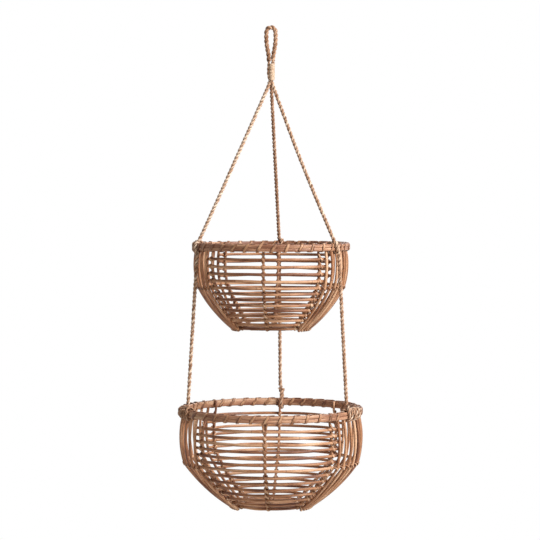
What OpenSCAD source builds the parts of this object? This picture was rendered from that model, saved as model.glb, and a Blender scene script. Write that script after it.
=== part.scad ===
// Two-tier hanging fruit basket of rattan canes on three natural-fibre ropes.
// The origin is the inside top of the hanging loop, +Z up, with the front of the baskets towards -Y.
// Sizes are in millimetres and angles in degrees, with 0 at +X and 90 at the back.

/* [Hanging loop and whipping] */
// Diameter of the doubled rope in the hanging loop
loop_rope_d = 7.4; // [6:0.1:9]
// Clear width of the eye that goes over a hook
eye_w = 9; // [7:0.5:14]
// Straight length of the eye's sides below its round top
eye_side = 14; // [8:1:24]
// Height from the inside top of the eye down to the whipping
loop_h = 56; // [48:1:80]
// Length of the twine whipping that binds the ropes together
whip_len = 37; // [25:1:60]
// Outer diameter of the whipping
whip_d = 13.2; // [12:0.2:18]
// Thickness of the twine in the whipping
whip_t = 1.5; // [0.8:0.1:2]

/* [Ropes] */
// Diameter of the three ropes
rope_d = 6; // [4:0.2:7]
// Where the back rope passes the upper rim
back_rope_az = 82.5; // [70:0.5:82.5]
// Number of turns that each side rope takes round the lower rim
lower_turns = 3; // [1:1:3]
// Which gap between stakes, from the middle of a side, holds the first turn
hitch_gap = 4; // [3:1:4]
// Height of the back rope's knot above the lower rim
knot_rise = 22; // [20:1:30]
// Diameter of the back rope's knot
knot_d = 11; // [9:0.5:13]
// Clearance round each place where a rope flexes
flex_gap = 0.3; // [0.2:0.05:0.5]
// Clearance at the lower ends of the two side ropes
foot_gap = 2.4; // [2:0.1:3]

/* [Canes] */
// Diameter of the upright stakes in the side walls
stake_d = 5; // [4:0.2:6]
// Number of stakes in each side wall
stake_count = 13; // [9:2:13]
// Diameter of the horizontal canes, hoops and base canes
cane_d = 4.8; // [4:0.2:6]
// Diameter of the thin ribs inside the horizontal canes
rib_d = 3.8; // [3:0.2:4.6]
// Diameter of the lashing cane
lash_d = 1.6; // [1:0.1:2]
// Clearance between one layer of canes and the next
layer_gap = 0.3; // [0.2:0.05:0.5]
// Half the angle that the front and back canes cover
panel_half = 53; // [53:0.5:54.5]
// Half the angle between the outermost stakes of a side wall
side_half = 38.5; // [34:0.5:38.5]
// Angle between the middle rib and each edge rib
edge_rib_at = 47.5; // [40:0.5:47.5]

/* [Rims] */
// Height of the wrapped hoops in a rim
rim_h = 12.4; // [10:0.2:15]
// Thickness of the outer hoop's two flat canes
outer_hoop_t = 3.2; // [2.4:0.1:4]
// Thickness of the flat inner hoop
inner_hoop_t = 3; // [2.4:0.1:3.2]
// Width of the binding strip along the rim
strip_w = 5; // [3:0.2:7]
// Thickness of the binding strip
strip_t = 0.7; // [0.5:0.05:0.8]
// Clearance between the binding strip and the hoops
strip_gap = 0.1; // [0.05:0.05:0.2]

/* [Upper basket] */
// Depth of the upper rim's middle below the inside top of the loop
upper_rim_drop = 389; // [360:1:420]
// Outer diameter of the upper rim over its binding
upper_rim_d = 283; // [270:1:300]
// Direction that the front of the upper basket faces
upper_front_az = 264; // [264:0.5:268]
// Length of the upper basket's upright wall below the rim
upper_side_len = 67; // [55:1:80]
// Outward lean of that wall just below the rim
upper_flare = 9; // [6:0.5:10]
// Angle that the upright wall bends inward over its length
upper_side_turn = 28; // [22:0.5:30]
// Angle that the wall bends at the waist
upper_waist_turn = 11; // [6:0.5:14]
// Length of the wall from the waist to the base
upper_bowl_len = 94.5; // [80:0.5:105]
// Angle that the lower wall bends inward over its length
upper_bowl_turn = 20; // [14:0.5:24]
// Number of front canes between the rim and the waist
upper_side_canes = 4; // [3:1:4]
// Number of front canes between the waist and the base
upper_bowl_canes = 7; // [4:1:7]
// Number of turns of the binding strip round the upper rim
upper_wraps = 36; // [24:1:40]

/* [Lower basket] */
// Depth of the lower rim's middle below the inside top of the loop
lower_rim_drop = 685; // [650:1:720]
// Outer diameter of the lower rim over its binding
lower_rim_d = 330; // [316:1:345]
// Direction that the front of the lower basket faces
lower_front_az = 266; // [265:0.5:269]
// Length of the lower basket's upright wall below the rim
lower_side_len = 84; // [72:1:95]
// Outward lean of that wall just below the rim
lower_flare = 14; // [8:0.5:15]
// Angle that the upright wall bends inward over its length
lower_side_turn = 29.5; // [22:0.5:31]
// Angle that the wall bends at the waist
lower_waist_turn = 20; // [12:0.5:22]
// Length of the wall from the waist to the base
lower_bowl_len = 116; // [100:0.5:125]
// Angle that the lower wall bends inward over its length
lower_bowl_turn = 23; // [16:0.5:26]
// Number of front canes between the rim and the waist
lower_side_canes = 6; // [4:1:6]
// Number of front canes between the waist and the base
lower_bowl_canes = 6; // [4:1:8]
// Number of turns of the binding strip round the lower rim
lower_wraps = 42; // [30:1:46]

/* [Base] */
// Number of straight canes across each base
base_cane_count = 13; // [9:2:13]
// Depth of the first front cane below the rim's middle
first_cane_drop = 21; // [19:0.5:24]
// Length of the short bend at the waist
waist_len = 5; // [4:0.5:8]
// Length of each stake past the middle of the base ring
stake_tail = -1; // [-2:0.5:3]

/* [Hidden] */

$fn = 48;
cane_colour = "#b9793e";
rib_colour = "#8c5a30";
strip_colour = "#a8683a";
rope_colour = "#c9a063";
twine_colour = "#dfc79a";
hoop_facets = 144;
lash_lean = 45;
knuckle_swell = 0.3;
knuckle_cut = 0.4;

// Each basket is one list, read by the functions below: rim drop, rim diameter, front direction,
// side length, flare, side turn, waist turn, bowl length, bowl turn, side canes, bowl canes, wraps
UPPER = [
    upper_rim_drop, upper_rim_d, upper_front_az,
    upper_side_len, upper_flare, upper_side_turn,
    upper_waist_turn, upper_bowl_len, upper_bowl_turn,
    upper_side_canes, upper_bowl_canes, upper_wraps
];
LOWER = [
    lower_rim_drop, lower_rim_d, lower_front_az,
    lower_side_len, lower_flare, lower_side_turn,
    lower_waist_turn, lower_bowl_len, lower_bowl_turn,
    lower_side_canes, lower_bowl_canes, lower_wraps
];
function rim_z(b) = -b[0];
function front_az(b) = b[2];
function back_az(b) = b[2] - 180;
function left_az(b) = b[2] - 90;
function right_az(b) = b[2] - 270;

// The rim from outside to inside: strip, two flat outer canes, stakes, inner hoop, strip
function rim_out(b) = b[1] / 2;
function outer_hoop_out(b) = rim_out(b) - strip_t - strip_gap;
function outer_hoop_in(b) = outer_hoop_out(b) - outer_hoop_t;
function stake_r(b) = outer_hoop_in(b) - layer_gap - stake_d / 2;
function inner_hoop_out(b) = stake_r(b) - stake_d / 2 - layer_gap;
function inner_hoop_in(b) = inner_hoop_out(b) - inner_hoop_t;
function rim_in(b) = inner_hoop_in(b) - strip_t - strip_gap;
rim_half = rim_h / 2 + strip_gap + strip_t;
// The strip turns round the rim's edges over a cut corner, and the hoops are rounded to lie inside it
strip_cut = 1.6;
hoop_edge = strip_cut / (2 - sqrt(2));

// The layers of the wall, as distances inward from the middle of the stakes
cane_inset = stake_d / 2 + layer_gap + cane_d / 2;
rib_inset = cane_inset + cane_d / 2 + layer_gap + rib_d / 2;
rib_step = rib_inset - cane_inset;

// The wall's middle line runs down from the collar inside the rim in three arcs that meet smoothly.
// A place on it is [radius, height, lean], where lean is the angle inward from straight down.
collar = rim_half + layer_gap;
function arc_lens(b) = [b[3], waist_len, b[7]];
function arc_turns(b) = [b[5], b[6], b[8]];
function wall_len(b) = b[3] + waist_len + b[7];
function waist_at(b) = b[3] + waist_len / 2;
function along(p, len, turn) = let (radius = len / (turn * PI / 180)) [
    p[0] + radius * (cos(p[2] + turn) - cos(p[2])),
    p[1] - radius * (sin(p[2] + turn) - sin(p[2])),
    p[2] + turn
];
function arc_start(b, i) = i == 0
    ? [stake_r(b), rim_z(b) - collar, -b[4]]
    : along(arc_start(b, i - 1), arc_lens(b)[i - 1], arc_turns(b)[i - 1]);
function arc_begin(b, i) = i == 0 ? 0 : arc_begin(b, i - 1) + arc_lens(b)[i - 1];
function arc_of(b, s) = s < arc_begin(b, 1) ? 0 : s < arc_begin(b, 2) ? 1 : 2;
function wall_at(b, s) = let (
    i = arc_of(b, s),
    share = (s - arc_begin(b, i)) / arc_lens(b)[i]
) share == 0 ? arc_start(b, i) : along(arc_start(b, i), share * arc_lens(b)[i], share * arc_turns(b)[i]);
function inset(p, t) = [p[0] - t * cos(p[2]), p[1] + t * sin(p[2]), p[2]];

// Places of the horizontal canes along the wall
first_cane_at = first_cane_drop - collar;
function side_pitch(b) = (waist_at(b) - first_cane_at) / b[9];
function bowl_pitch(b) = (wall_len(b) - waist_at(b)) / (b[10] + 1);
function cane_places(b) = concat(
    [for (i = [0:b[9] - 1]) first_cane_at + i * side_pitch(b)],
    [for (i = [1:b[10]]) waist_at(b) + i * bowl_pitch(b)]
);
stake_pitch = 2 * side_half / (stake_count - 1);

// The flat base: its ribs run from front to back over straight canes that lie inside the base ring
function base_ring_at(b) = inset(wall_at(b, wall_len(b)), cane_inset);
function base_rib_at(b) = inset(wall_at(b, wall_len(b)), rib_inset);
function base_cane_z(b) = base_rib_at(b)[1] - rib_step;
function base_cane_reach(b) = base_ring_at(b)[0] - cane_d / 2 - layer_gap;
function base_pitch(b) = 2 * base_cane_reach(b) / (base_cane_count + 1);

// The ropes
function polar(r, az, z) = [r * cos(az), r * sin(az), z];
loop_r = (eye_w + loop_rope_d) / 2;
loop_top = loop_rope_d / 2;
throat_z = -loop_h;
whip_z = throat_z - flex_gap;
whip_bottom = whip_z - whip_len;
crown_r = rope_d / 2 + 2 * knuckle_swell;
crown_z = whip_bottom - crown_r / 2;
core_d = whip_d - 2 * whip_t - strip_gap;
rope_start_z = crown_z - crown_r - flex_gap;
rope_start_r = (rope_d + knuckle_swell + flex_gap / 2) / sqrt(3);
function rope_r(b) = rim_out(b) + strip_gap + rope_d / 2;
function turn_z() = rim_half + strip_gap + rope_d / 2;
function rope_spacing(b) = (rope_d + strip_gap * 2) / rope_r(b) * 180 / PI;
function left_gap_az(b, k) = left_az(b) + (k + 0.5) * stake_pitch;
function right_gap_az(b, k) = right_az(b) - (k + 0.5) * stake_pitch;
left_rope_az = left_gap_az(UPPER, hitch_gap) - rope_spacing(UPPER);
right_rope_az = right_gap_az(UPPER, hitch_gap) - rope_spacing(UPPER);
shoulder_z = rim_z(UPPER) + rim_half + rope_d / 2;
bend_z = rim_z(UPPER) - turn_z() - rope_d / 2;
foot_r = rim_out(LOWER) - rope_d / 2;
side_foot_z = rim_z(LOWER) + turn_z() + rope_d + foot_gap;
knot_z = rim_z(LOWER) + knot_rise;
back_foot_z = knot_z + knot_d / 2 + flex_gap + rope_d / 2;

// A straight round rod between two points
module rod(p, q, d) {
    v = q - p;
    len = norm(v);
    translate(p)
        rotate([0, acos(v[2] / len), atan2(v[1], v[0])])
            cylinder(d = d, h = len);
}

// A slightly swollen joint, which two rods enter from either side without meeting inside it
module knuckle(d) sphere(d = d + knuckle_swell);

// A rope laid through a list of points, with a knuckle at each bend and flat at its ends
module rope_run(points, d) {
    last = len(points) - 1;
    for (i = [0:last - 1]) {
        dir = (points[i + 1] - points[i]) / norm(points[i + 1] - points[i]);
        rod(
            points[i] + dir * (i == 0 ? 0 : knuckle_cut),
            points[i + 1] - dir * (i == last - 1 ? 0 : knuckle_cut), d
        );
    }
    for (i = [1:1:last - 1]) translate(points[i]) knuckle(d);
}

// Part of a ring lying flat, from one direction to another
module ring_arc(r, z, d, from_az, to_az) {
    translate([0, 0, z])
        rotate([0, 0, from_az])
            rotate_extrude(angle = to_az - from_az, $fn = hoop_facets)
                translate([r, 0]) circle(d = d);
}

module ring(r, z, d) {
    translate([0, 0, z])
        rotate_extrude($fn = hoop_facets)
            translate([r, 0]) circle(d = d);
}

// A round rod that stands inside the rim to a height of rise above its middle and follows the
// wall down from there to a place along it, set in by its layer
module wall_rod(b, az, to, set_in, d, rise)
    rotate([0, 0, az]) {
        top = inset(arc_start(b, 0), set_in);
        rod([top[0], 0, top[1] + knuckle_cut], [top[0], 0, rim_z(b) + rise], d);
        for (i = [0:2]) {
            joint = inset(arc_start(b, i), set_in);
            translate([joint[0], 0, joint[1]]) knuckle(d);
            first = arc_begin(b, i) + knuckle_cut;
            last = i == 2 ? to : arc_begin(b, i + 1) - knuckle_cut;
            wall_arc(b, i, first, last, set_in, d);
        }
    }

// One of the three arcs of such a rod, in the plane of direction 0
module wall_arc(b, i, first, last, set_in, d) {
    turn_rate = arc_turns(b)[i] / arc_lens(b)[i];
    radius = 180 / PI / turn_rate;
    lean = arc_start(b, i)[2] + (last - arc_begin(b, i)) * turn_rate;
    centre = inset(arc_start(b, i), radius);
    translate([centre[0], 0, centre[1]])
        rotate([90, 0, 0])
            rotate([0, 0, -lean])
                rotate_extrude(angle = (last - first) * turn_rate, $fn = hoop_facets)
                    translate([radius - set_in, 0]) circle(d = d);
}

// A flat cane of one rim hoop, whose rounded edges are on the side of the radius edge_r
module flat_hoop(edge_r, flat_r, z, h) {
    middle = edge_r - sign(edge_r - flat_r) * hoop_edge;
    inner_r = min(edge_r, flat_r);
    width = abs(edge_r - flat_r);
    translate([0, 0, z])
        rotate_extrude($fn = hoop_facets)
            intersection() {
                translate([inner_r, -h / 2]) square([width, h]);
                union() {
                    translate([min(middle, flat_r), -h / 2]) square([abs(middle - flat_r), h]);
                    translate([inner_r, hoop_edge - h / 2]) square([width, h - 2 * hoop_edge]);
                    for (end = [-1, 1])
                        translate([middle, end * (h / 2 - hoop_edge)]) circle(r = hoop_edge);
                }
            }
}

// A loop of cane or rope round a rectangle from x0 to x1 and z0 to z1, with round corners.
// The sizes are those of its middle line.
module round_loop(x0, x1, z0, z1, corner, d) {
    at = [
        [x1 - corner, z1 - corner], [x0 + corner, z1 - corner],
        [x0 + corner, z0 + corner], [x1 - corner, z0 + corner]
    ];
    for (i = [0:3])
        translate([at[i][0], 0, at[i][1]])
            rotate([90, 0, 0])
                rotate([0, 0, i * 90])
                    rotate_extrude(angle = 90)
                        translate([corner, 0]) circle(d = d);
    for (z = [z0, z1]) rod([x0 + corner, 0, z], [x1 - corner, 0, z], d);
    for (x = [x0, x1]) rod([x, 0, z0 + corner], [x, 0, z1 - corner], d);
}

// One turn of rope round a rim
module rim_turn(b, az) {
    rotate([0, 0, az])
        translate([0, 0, rim_z(b)])
            round_loop(
                rim_in(b) - strip_gap - rope_d / 2, rope_r(b),
                -turn_z(), turn_z(), rope_d / 2 + strip_gap, rope_d
            );
}

// A diagonal lashing round two crossed canes. The first lies at the origin along Y,
// and the second stands along Z at a distance of step along X. The lashing leans by lean.
module lashing(first_d, second_d, step, lean) {
    radius = lash_radius(first_d, second_d, step);
    translate([(step + (second_d - first_d) / 2) / 2, 0, 0])
        rotate([lean, 0, 0])
            rotate_extrude()
                translate([radius, 0]) circle(d = lash_d);
}
function lash_radius(first_d, second_d, step) =
    (step + (first_d + second_d) / 2 + knuckle_swell + lash_d) / 2 + strip_gap;

// A lashing where an inner rib crosses a horizontal cane of the wall
module rib_lashing(b, az, s) {
    p = inset(wall_at(b, s), cane_inset);
    rotate([0, 0, az])
        translate([p[0], 0, p[1]])
            rotate([0, -p[2], 180])
                lashing(cane_d, rib_d, rib_step, lash_lean);
}

// A tie where an outer stake crosses a hoop of the wall, parallel to the lashings of the ribs
module stake_tie(b, az, s) {
    p = inset(wall_at(b, s), cane_inset);
    rotate([0, 0, az])
        translate([p[0], 0, p[1]])
            rotate([0, p[2], 0])
                lashing(cane_d, stake_d, cane_inset, -lash_lean);
}

// Hanging loop, whipping and crown

module hanging_loop() color(rope_colour) {
    leg = loop_rope_d / 2 + strip_gap;
    arch_z = loop_top - loop_r;
    translate([0, 0, arch_z])
        rotate([90, 0, 0])
            rotate_extrude(angle = 180) translate([loop_r, 0]) circle(d = loop_rope_d);
    for (side = [-1, 1]) {
        translate([side * loop_r, 0, arch_z - knuckle_cut]) knuckle(loop_rope_d);
        rope_run([
            [side * loop_r, 0, arch_z - 2 * knuckle_cut],
            [side * loop_r, 0, arch_z - eye_side],
            [side * leg, 0, throat_z + loop_rope_d],
            [side * leg, 0, throat_z]
        ], loop_rope_d);
    }
}

module rope_bundle() color(rope_colour)
    translate([0, 0, crown_z + crown_r + flex_gap])
        cylinder(d = core_d, h = whip_z - crown_z - crown_r - flex_gap);

module whipping() color(twine_colour)
    translate([0, 0, whip_bottom])
        rotate_extrude()
            translate([whip_d / 2 - whip_t, 0])
                polygon([
                    [0, 0], [whip_t / 2, 0], [whip_t, whip_t], [whip_t, whip_len - whip_t],
                    [whip_t / 2, whip_len], [0, whip_len]
                ]);

module crown_turn() color(rope_colour)
    translate([0, 0, crown_z]) sphere(r = crown_r);

// One of the three ropes from the crown to just below the upper rim
module upper_rope(az) color(rope_colour)
    intersection() {
        rope_run([
            polar(0, az, rope_start_z + rope_start_r * 2),
            polar(rope_start_r, az, rope_start_z),
            polar(rope_r(UPPER), az, shoulder_z),
            polar(rope_r(UPPER), az, bend_z + rope_d / 2 + flex_gap)
        ], rope_d);
        translate([0, 0, bend_z])
            cylinder(r = rope_r(UPPER) + rope_d, h = rope_start_z - bend_z);
    }

// The short stretch of rope below the upper rim that flexes when the lower basket swings
module rope_bend(az) color(rope_colour)
    translate(polar(rope_r(UPPER), az, bend_z)) sphere(d = rope_d);

// A rope from the upper rim to the lower one, cut clear of the bends at its ends
module drop_rope(top, foot, foot_cut) color(rope_colour) {
    dir = (foot - top) / norm(foot - top);
    start = top + dir * (rope_d / 2 + flex_gap);
    end = foot - dir * foot_cut;
    rod(start, end, rope_d);
    if (foot_cut == 0) translate(end) knuckle(rope_d);
}

// The turn of a rope round the upper rim
module upper_hitch(az) color(rope_colour) rim_turn(UPPER, az);

// The turns of a side rope round the lower rim, one in each gap between stakes
module lower_hitch(gap_az) color(rope_colour)
    for (k = [0:lower_turns - 1]) rim_turn(LOWER, gap_az[k]);

module back_lower_eye() color(rope_colour) {
    az = back_rope_az;
    out_r = rope_r(LOWER);
    in_r = rim_in(LOWER) - strip_gap - rope_d / 2;
    z = rim_z(LOWER);
    knot = polar(foot_r, az, knot_z);
    apart = [rope_d / 12, 0, 0];
    rope_run([
        knot, polar(out_r, az, z + turn_z()), polar(out_r, az, z - turn_z()),
        polar(in_r, az, z - turn_z()), polar(in_r, az, z + turn_z()), knot + apart
    ], rope_d);
    translate(knot) sphere(d = knot_d);
}

// The pieces of one basket, each called with UPPER or LOWER

module outer_hoop(b) color(cane_colour)
    for (side = [-1, 1])
        flat_hoop(outer_hoop_out(b), outer_hoop_in(b), rim_z(b) + side * rim_h / 4, rim_h / 2 - strip_gap);

module inner_hoop(b) color(cane_colour)
    flat_hoop(inner_hoop_in(b), inner_hoop_out(b), rim_z(b), rim_h);

// The split-cane binding is one strip that winds round the rim's hoops. Its stations go round a
// rectangle with cut corners, from the outer end of its crossing under the rim to the inner end.
function strip_path(b, t) = let (
    ro = outer_hoop_out(b) + strip_gap + t,
    ri = inner_hoop_in(b) - strip_gap - t,
    h = rim_h / 2 + strip_gap + t,
    c = strip_cut
) [
    [ro - c, -h], [ro, c - h], [ro, 0], [ro, h - c], [ro - c, h],
    [ri + c, h], [ri, h - c], [ri, c - h], [ri + c, -h]
];
// How far round to the next crossing each station is: the strip leans on the rim's two faces
strip_lean = [0, 0.03, 0.23, 0.43, 0.46, 0.54, 0.57, 0.97, 1];

// The crossings under the rim pass between the stakes, each in the middle of the nearest gap
function from_middle(az, middle) = az - middle - 360 * round((az - middle) / 360);
function gap_shift(off) = abs(off) > side_half + stake_pitch / 2
    ? 0
    : (round(off / stake_pitch - 0.5) + 0.5) * stake_pitch - off;
function crossing_az(b, i) = let (az = i * 360 / b[11])
    az + gap_shift(from_middle(az, left_az(b))) + gap_shift(from_middle(az, right_az(b)));

module rim_binding(b) color(strip_colour) {
    inner = strip_path(b, 0);
    outer = strip_path(b, strip_t);
    per_turn = len(strip_lean);
    stations = b[11] * per_turn;
    half = strip_w / 2 / rim_out(b) * 180 / PI;
    points = [
        for (i = [0:b[11] - 1]) for (k = [0:per_turn - 1]) let (
            from = crossing_az(b, i),
            az = from + strip_lean[k] * (crossing_az(b, i + 1) - from),
            z = rim_z(b)
        ) each [
            polar(inner[k][0], az - half, z + inner[k][1]), polar(inner[k][0], az + half, z + inner[k][1]),
            polar(outer[k][0], az + half, z + outer[k][1]), polar(outer[k][0], az - half, z + outer[k][1])
        ]
    ];
    faces = [
        for (i = [0:stations - 1]) for (j = [0:3]) let (
            a = i * 4 + j,
            c = i * 4 + (j + 1) % 4,
            d = ((i + 1) % stations) * 4 + j,
            e = ((i + 1) % stations) * 4 + (j + 1) % 4
        ) each [[a, c, d], [c, e, d]]
    ];
    polyhedron(points = points, faces = faces, convexity = 10);
}

module waist_hoop(b) color(cane_colour) {
    p = inset(wall_at(b, waist_at(b)), cane_inset);
    ring(p[0], p[1], cane_d);
}

module base_ring(b) color(cane_colour) {
    p = base_ring_at(b);
    ring(p[0], p[1], cane_d);
}

module base_canes(b) color(cane_colour)
    intersection() {
        rotate([0, 0, left_az(b)])
            for (i = [1:base_cane_count]) {
                y = i * base_pitch(b) - base_cane_reach(b);
                rod(
                    [-base_cane_reach(b), y, base_cane_z(b)],
                    [base_cane_reach(b), y, base_cane_z(b)], cane_d
                );
            }
        translate([0, 0, base_cane_z(b) - cane_d])
            cylinder(r = base_cane_reach(b), h = 2 * cane_d);
    }

// The horizontal canes of a front or back wall, whose middle faces az
module wall_canes(b, az) color(cane_colour)
    for (s = cane_places(b)) {
        p = inset(wall_at(b, s), cane_inset);
        ring_arc(p[0], p[1], cane_d, az - panel_half, az + panel_half);
    }

// The upright stakes of a side wall, whose middle faces az
module stakes(b, az) color(cane_colour)
    for (i = [0:stake_count - 1]) {
        at = az - side_half + i * stake_pitch;
        wall_rod(b, at, wall_len(b) + stake_tail, 0, stake_d, rim_h / 2 - strip_gap);
    }

// A rib that runs down the front wall, over the base and up the back wall.
// at is its angle from the middle, and the base stretch runs straight from front to back.
module full_rib(b, at) {
    p = base_rib_at(b);
    ends = [front_az(b) + at, back_az(b) - at];
    corners = [for (az = ends) polar(p[0], az, p[1])];
    across = (corners[1] - corners[0]) / norm(corners[1] - corners[0]);
    for (i = [0:1]) {
        wall_rod(b, ends[i], wall_len(b) - knuckle_cut, rib_inset, rib_d, rim_h / 2);
        translate(corners[i]) knuckle(rib_d);
    }
    rod(corners[0] + across * knuckle_cut, corners[1] - across * knuckle_cut, rib_d);
}

module middle_rib(b) color(rib_colour) full_rib(b, 0);

module edge_ribs(b) color(rib_colour)
    for (side = [-1, 1]) full_rib(b, side * edge_rib_at);

// The lashings of a front or back wall: one where each rib crosses each cane
module wall_lashings(b, az) color(strip_colour)
    for (at = [-edge_rib_at, 0, edge_rib_at])
        for (s = concat(cane_places(b), [waist_at(b)])) rib_lashing(b, az + at, s);

module side_ties(b, az) color(strip_colour)
    for (i = [0:stake_count - 1]) stake_tie(b, az - side_half + i * stake_pitch, waist_at(b));

module base_lashings(b) color(strip_colour)
    rotate([0, 0, left_az(b)])
        for (at = [-edge_rib_at, 0, edge_rib_at])
            for (i = [1:base_cane_count]) {
                x = base_rib_at(b)[0] * sin(at);
                y = i * base_pitch(b) - base_cane_reach(b);
                reach = base_cane_reach(b) - lash_radius(cane_d, rib_d, rib_step) - lash_d / 2;
                if (norm([x, y]) < reach)
                    translate([x, y, base_cane_z(b)])
                        rotate([0, -90, 90])
                            lashing(cane_d, rib_d, rib_step, lash_lean);
            }

// Places where the drop ropes begin and end
left_top = polar(rope_r(UPPER), left_rope_az, bend_z);
right_top = polar(rope_r(UPPER), right_rope_az, bend_z);
back_top = polar(rope_r(UPPER), back_rope_az, bend_z);
left_foot = polar(foot_r, left_gap_az(LOWER, hitch_gap), side_foot_z);
right_foot = polar(foot_r, right_gap_az(LOWER, hitch_gap), side_foot_z);
back_foot = polar(foot_r, back_rope_az, back_foot_z);

hanging_loop();
rope_bundle();
whipping();
crown_turn();
upper_rope(left_rope_az);  // left_upper_rope
upper_rope(right_rope_az);  // right_upper_rope
upper_rope(back_rope_az);  // back_upper_rope
upper_hitch(left_gap_az(UPPER, hitch_gap));  // left_upper_hitch
upper_hitch(right_gap_az(UPPER, hitch_gap));  // right_upper_hitch
upper_hitch(back_rope_az - rope_spacing(UPPER));  // back_upper_hitch
rope_bend(left_rope_az);  // left_rope_bend
rope_bend(right_rope_az);  // right_rope_bend
rope_bend(back_rope_az);  // back_rope_bend
drop_rope(left_top, left_foot, 0);  // left_drop_rope
drop_rope(right_top, right_foot, 0);  // right_drop_rope
drop_rope(back_top, back_foot, rope_d / 2 + flex_gap);  // back_drop_rope
color(rope_colour) translate(back_foot) sphere(d = rope_d);  // back_foot_bend
lower_hitch([for (k = [0:2]) left_gap_az(LOWER, hitch_gap - k)]);  // left_lower_hitch
lower_hitch([for (k = [0:2]) right_gap_az(LOWER, hitch_gap - k)]);  // right_lower_hitch
back_lower_eye();
outer_hoop(UPPER);  // upper_outer_hoop
inner_hoop(UPPER);  // upper_inner_hoop
rim_binding(UPPER);  // upper_rim_binding
waist_hoop(UPPER);  // upper_waist_hoop
base_ring(UPPER);  // upper_base_ring
base_canes(UPPER);  // upper_base_canes
wall_canes(UPPER, front_az(UPPER));  // upper_front_canes
wall_canes(UPPER, back_az(UPPER));  // upper_back_canes
stakes(UPPER, left_az(UPPER));  // upper_left_stakes
stakes(UPPER, right_az(UPPER));  // upper_right_stakes
middle_rib(UPPER);  // upper_middle_rib
edge_ribs(UPPER);  // upper_edge_ribs
wall_lashings(UPPER, front_az(UPPER));  // upper_front_lashings
wall_lashings(UPPER, back_az(UPPER));  // upper_back_lashings
side_ties(UPPER, left_az(UPPER));  // upper_left_ties
side_ties(UPPER, right_az(UPPER));  // upper_right_ties
base_lashings(UPPER);  // upper_base_lashings
outer_hoop(LOWER);  // lower_outer_hoop
inner_hoop(LOWER);  // lower_inner_hoop
rim_binding(LOWER);  // lower_rim_binding
waist_hoop(LOWER);  // lower_waist_hoop
base_ring(LOWER);  // lower_base_ring
base_canes(LOWER);  // lower_base_canes
wall_canes(LOWER, front_az(LOWER));  // lower_front_canes
wall_canes(LOWER, back_az(LOWER));  // lower_back_canes
stakes(LOWER, left_az(LOWER));  // lower_left_stakes
stakes(LOWER, right_az(LOWER));  // lower_right_stakes
middle_rib(LOWER);  // lower_middle_rib
edge_ribs(LOWER);  // lower_edge_ribs
wall_lashings(LOWER, front_az(LOWER));  // lower_front_lashings
wall_lashings(LOWER, back_az(LOWER));  // lower_back_lashings
side_ties(LOWER, left_az(LOWER));  // lower_left_ties
side_ties(LOWER, right_az(LOWER));  // lower_right_ties
base_lashings(LOWER);  // lower_base_lashings
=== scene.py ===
"""Two-tier hanging fruit basket of rattan on twisted fibre ropes, dressed for rendering.

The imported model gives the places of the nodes. Sizes here are in millimetres and angles in
degrees, with 0 at +X and 90 at the back, and every mesh is turned into metres when it is made.
"""

import logging
import math
from dataclasses import dataclass
from enum import Enum

import bmesh
import bpy
from mathutils import Matrix, Vector, noise


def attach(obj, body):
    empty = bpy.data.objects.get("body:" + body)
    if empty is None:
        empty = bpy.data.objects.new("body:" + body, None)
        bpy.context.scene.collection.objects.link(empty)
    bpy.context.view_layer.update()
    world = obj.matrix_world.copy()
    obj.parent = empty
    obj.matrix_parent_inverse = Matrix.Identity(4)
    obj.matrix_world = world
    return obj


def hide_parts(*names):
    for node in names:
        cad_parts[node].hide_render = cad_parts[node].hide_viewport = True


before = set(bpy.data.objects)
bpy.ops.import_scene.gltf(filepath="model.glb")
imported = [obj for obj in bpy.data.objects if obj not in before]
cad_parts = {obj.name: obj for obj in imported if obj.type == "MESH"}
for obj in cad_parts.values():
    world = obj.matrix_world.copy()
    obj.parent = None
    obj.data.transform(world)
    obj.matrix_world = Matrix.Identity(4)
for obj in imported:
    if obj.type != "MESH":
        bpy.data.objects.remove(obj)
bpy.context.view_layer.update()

log = logging.getLogger("basket")

MM = 0.001
TAU = 2 * math.pi
UP = Vector((0, 0, 1))
# Parts of a rounded line's stretch between two corners, and the shortest length that counts
DENSE_PARTS = 12
SHORTEST = 1e-9


class Side(Enum):
    """The four walls of a basket, each with its turn from the front."""

    FRONT = 0.0
    LEFT = -90.0
    BACK = 180.0
    RIGHT = 90.0

    @property
    def word(self) -> str:
        """Return the side's name as the nodes spell it."""
        return self.name.lower()


class Slot(Enum):
    """The material slots of the record."""

    RATTAN = "rattan"
    RIB = "rib"
    SPLIT_CANE = "split_cane"
    ROPE = "rope"
    TWINE = "twine"


def polar(radius: float, azimuth: float, z: float) -> Vector:
    """Return the point at a radius and direction."""
    angle = math.radians(azimuth)
    return Vector((radius * math.cos(angle), radius * math.sin(angle), z))


# A place is counted in wavelengths. Plain numbers added to a seed keep a piece's errors apart.
def drift(place: float, seed: float, size: float) -> float:
    """Return a smooth hand-made error between -size and size."""
    return size * noise.noise(Vector((place, seed * 3.17, seed * 1.31)))


def squared(turn: float, power: float) -> tuple[float, float]:
    """Return the point at an angle on a circle, which a power under 1 squares off."""
    c, s = math.cos(turn), math.sin(turn)
    return math.copysign(abs(c) ** power, c), math.copysign(abs(s) ** power, s)


def linear(hex_colour: str) -> tuple[float, float, float, float]:
    """Turn an sRGB hex colour into a linear one.

    Args:
        hex_colour: The colour, with its number sign.

    Returns:
        Red, green, blue and a full alpha.
    """
    parts = [int(hex_colour[i:i + 2], 16) / 255 for i in (1, 3, 5)]
    values = [c / 12.92 if c <= 0.04045 else ((c + 0.055) / 1.055) ** 2.4 for c in parts]
    return (values[0], values[1], values[2], 1.0)


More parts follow.
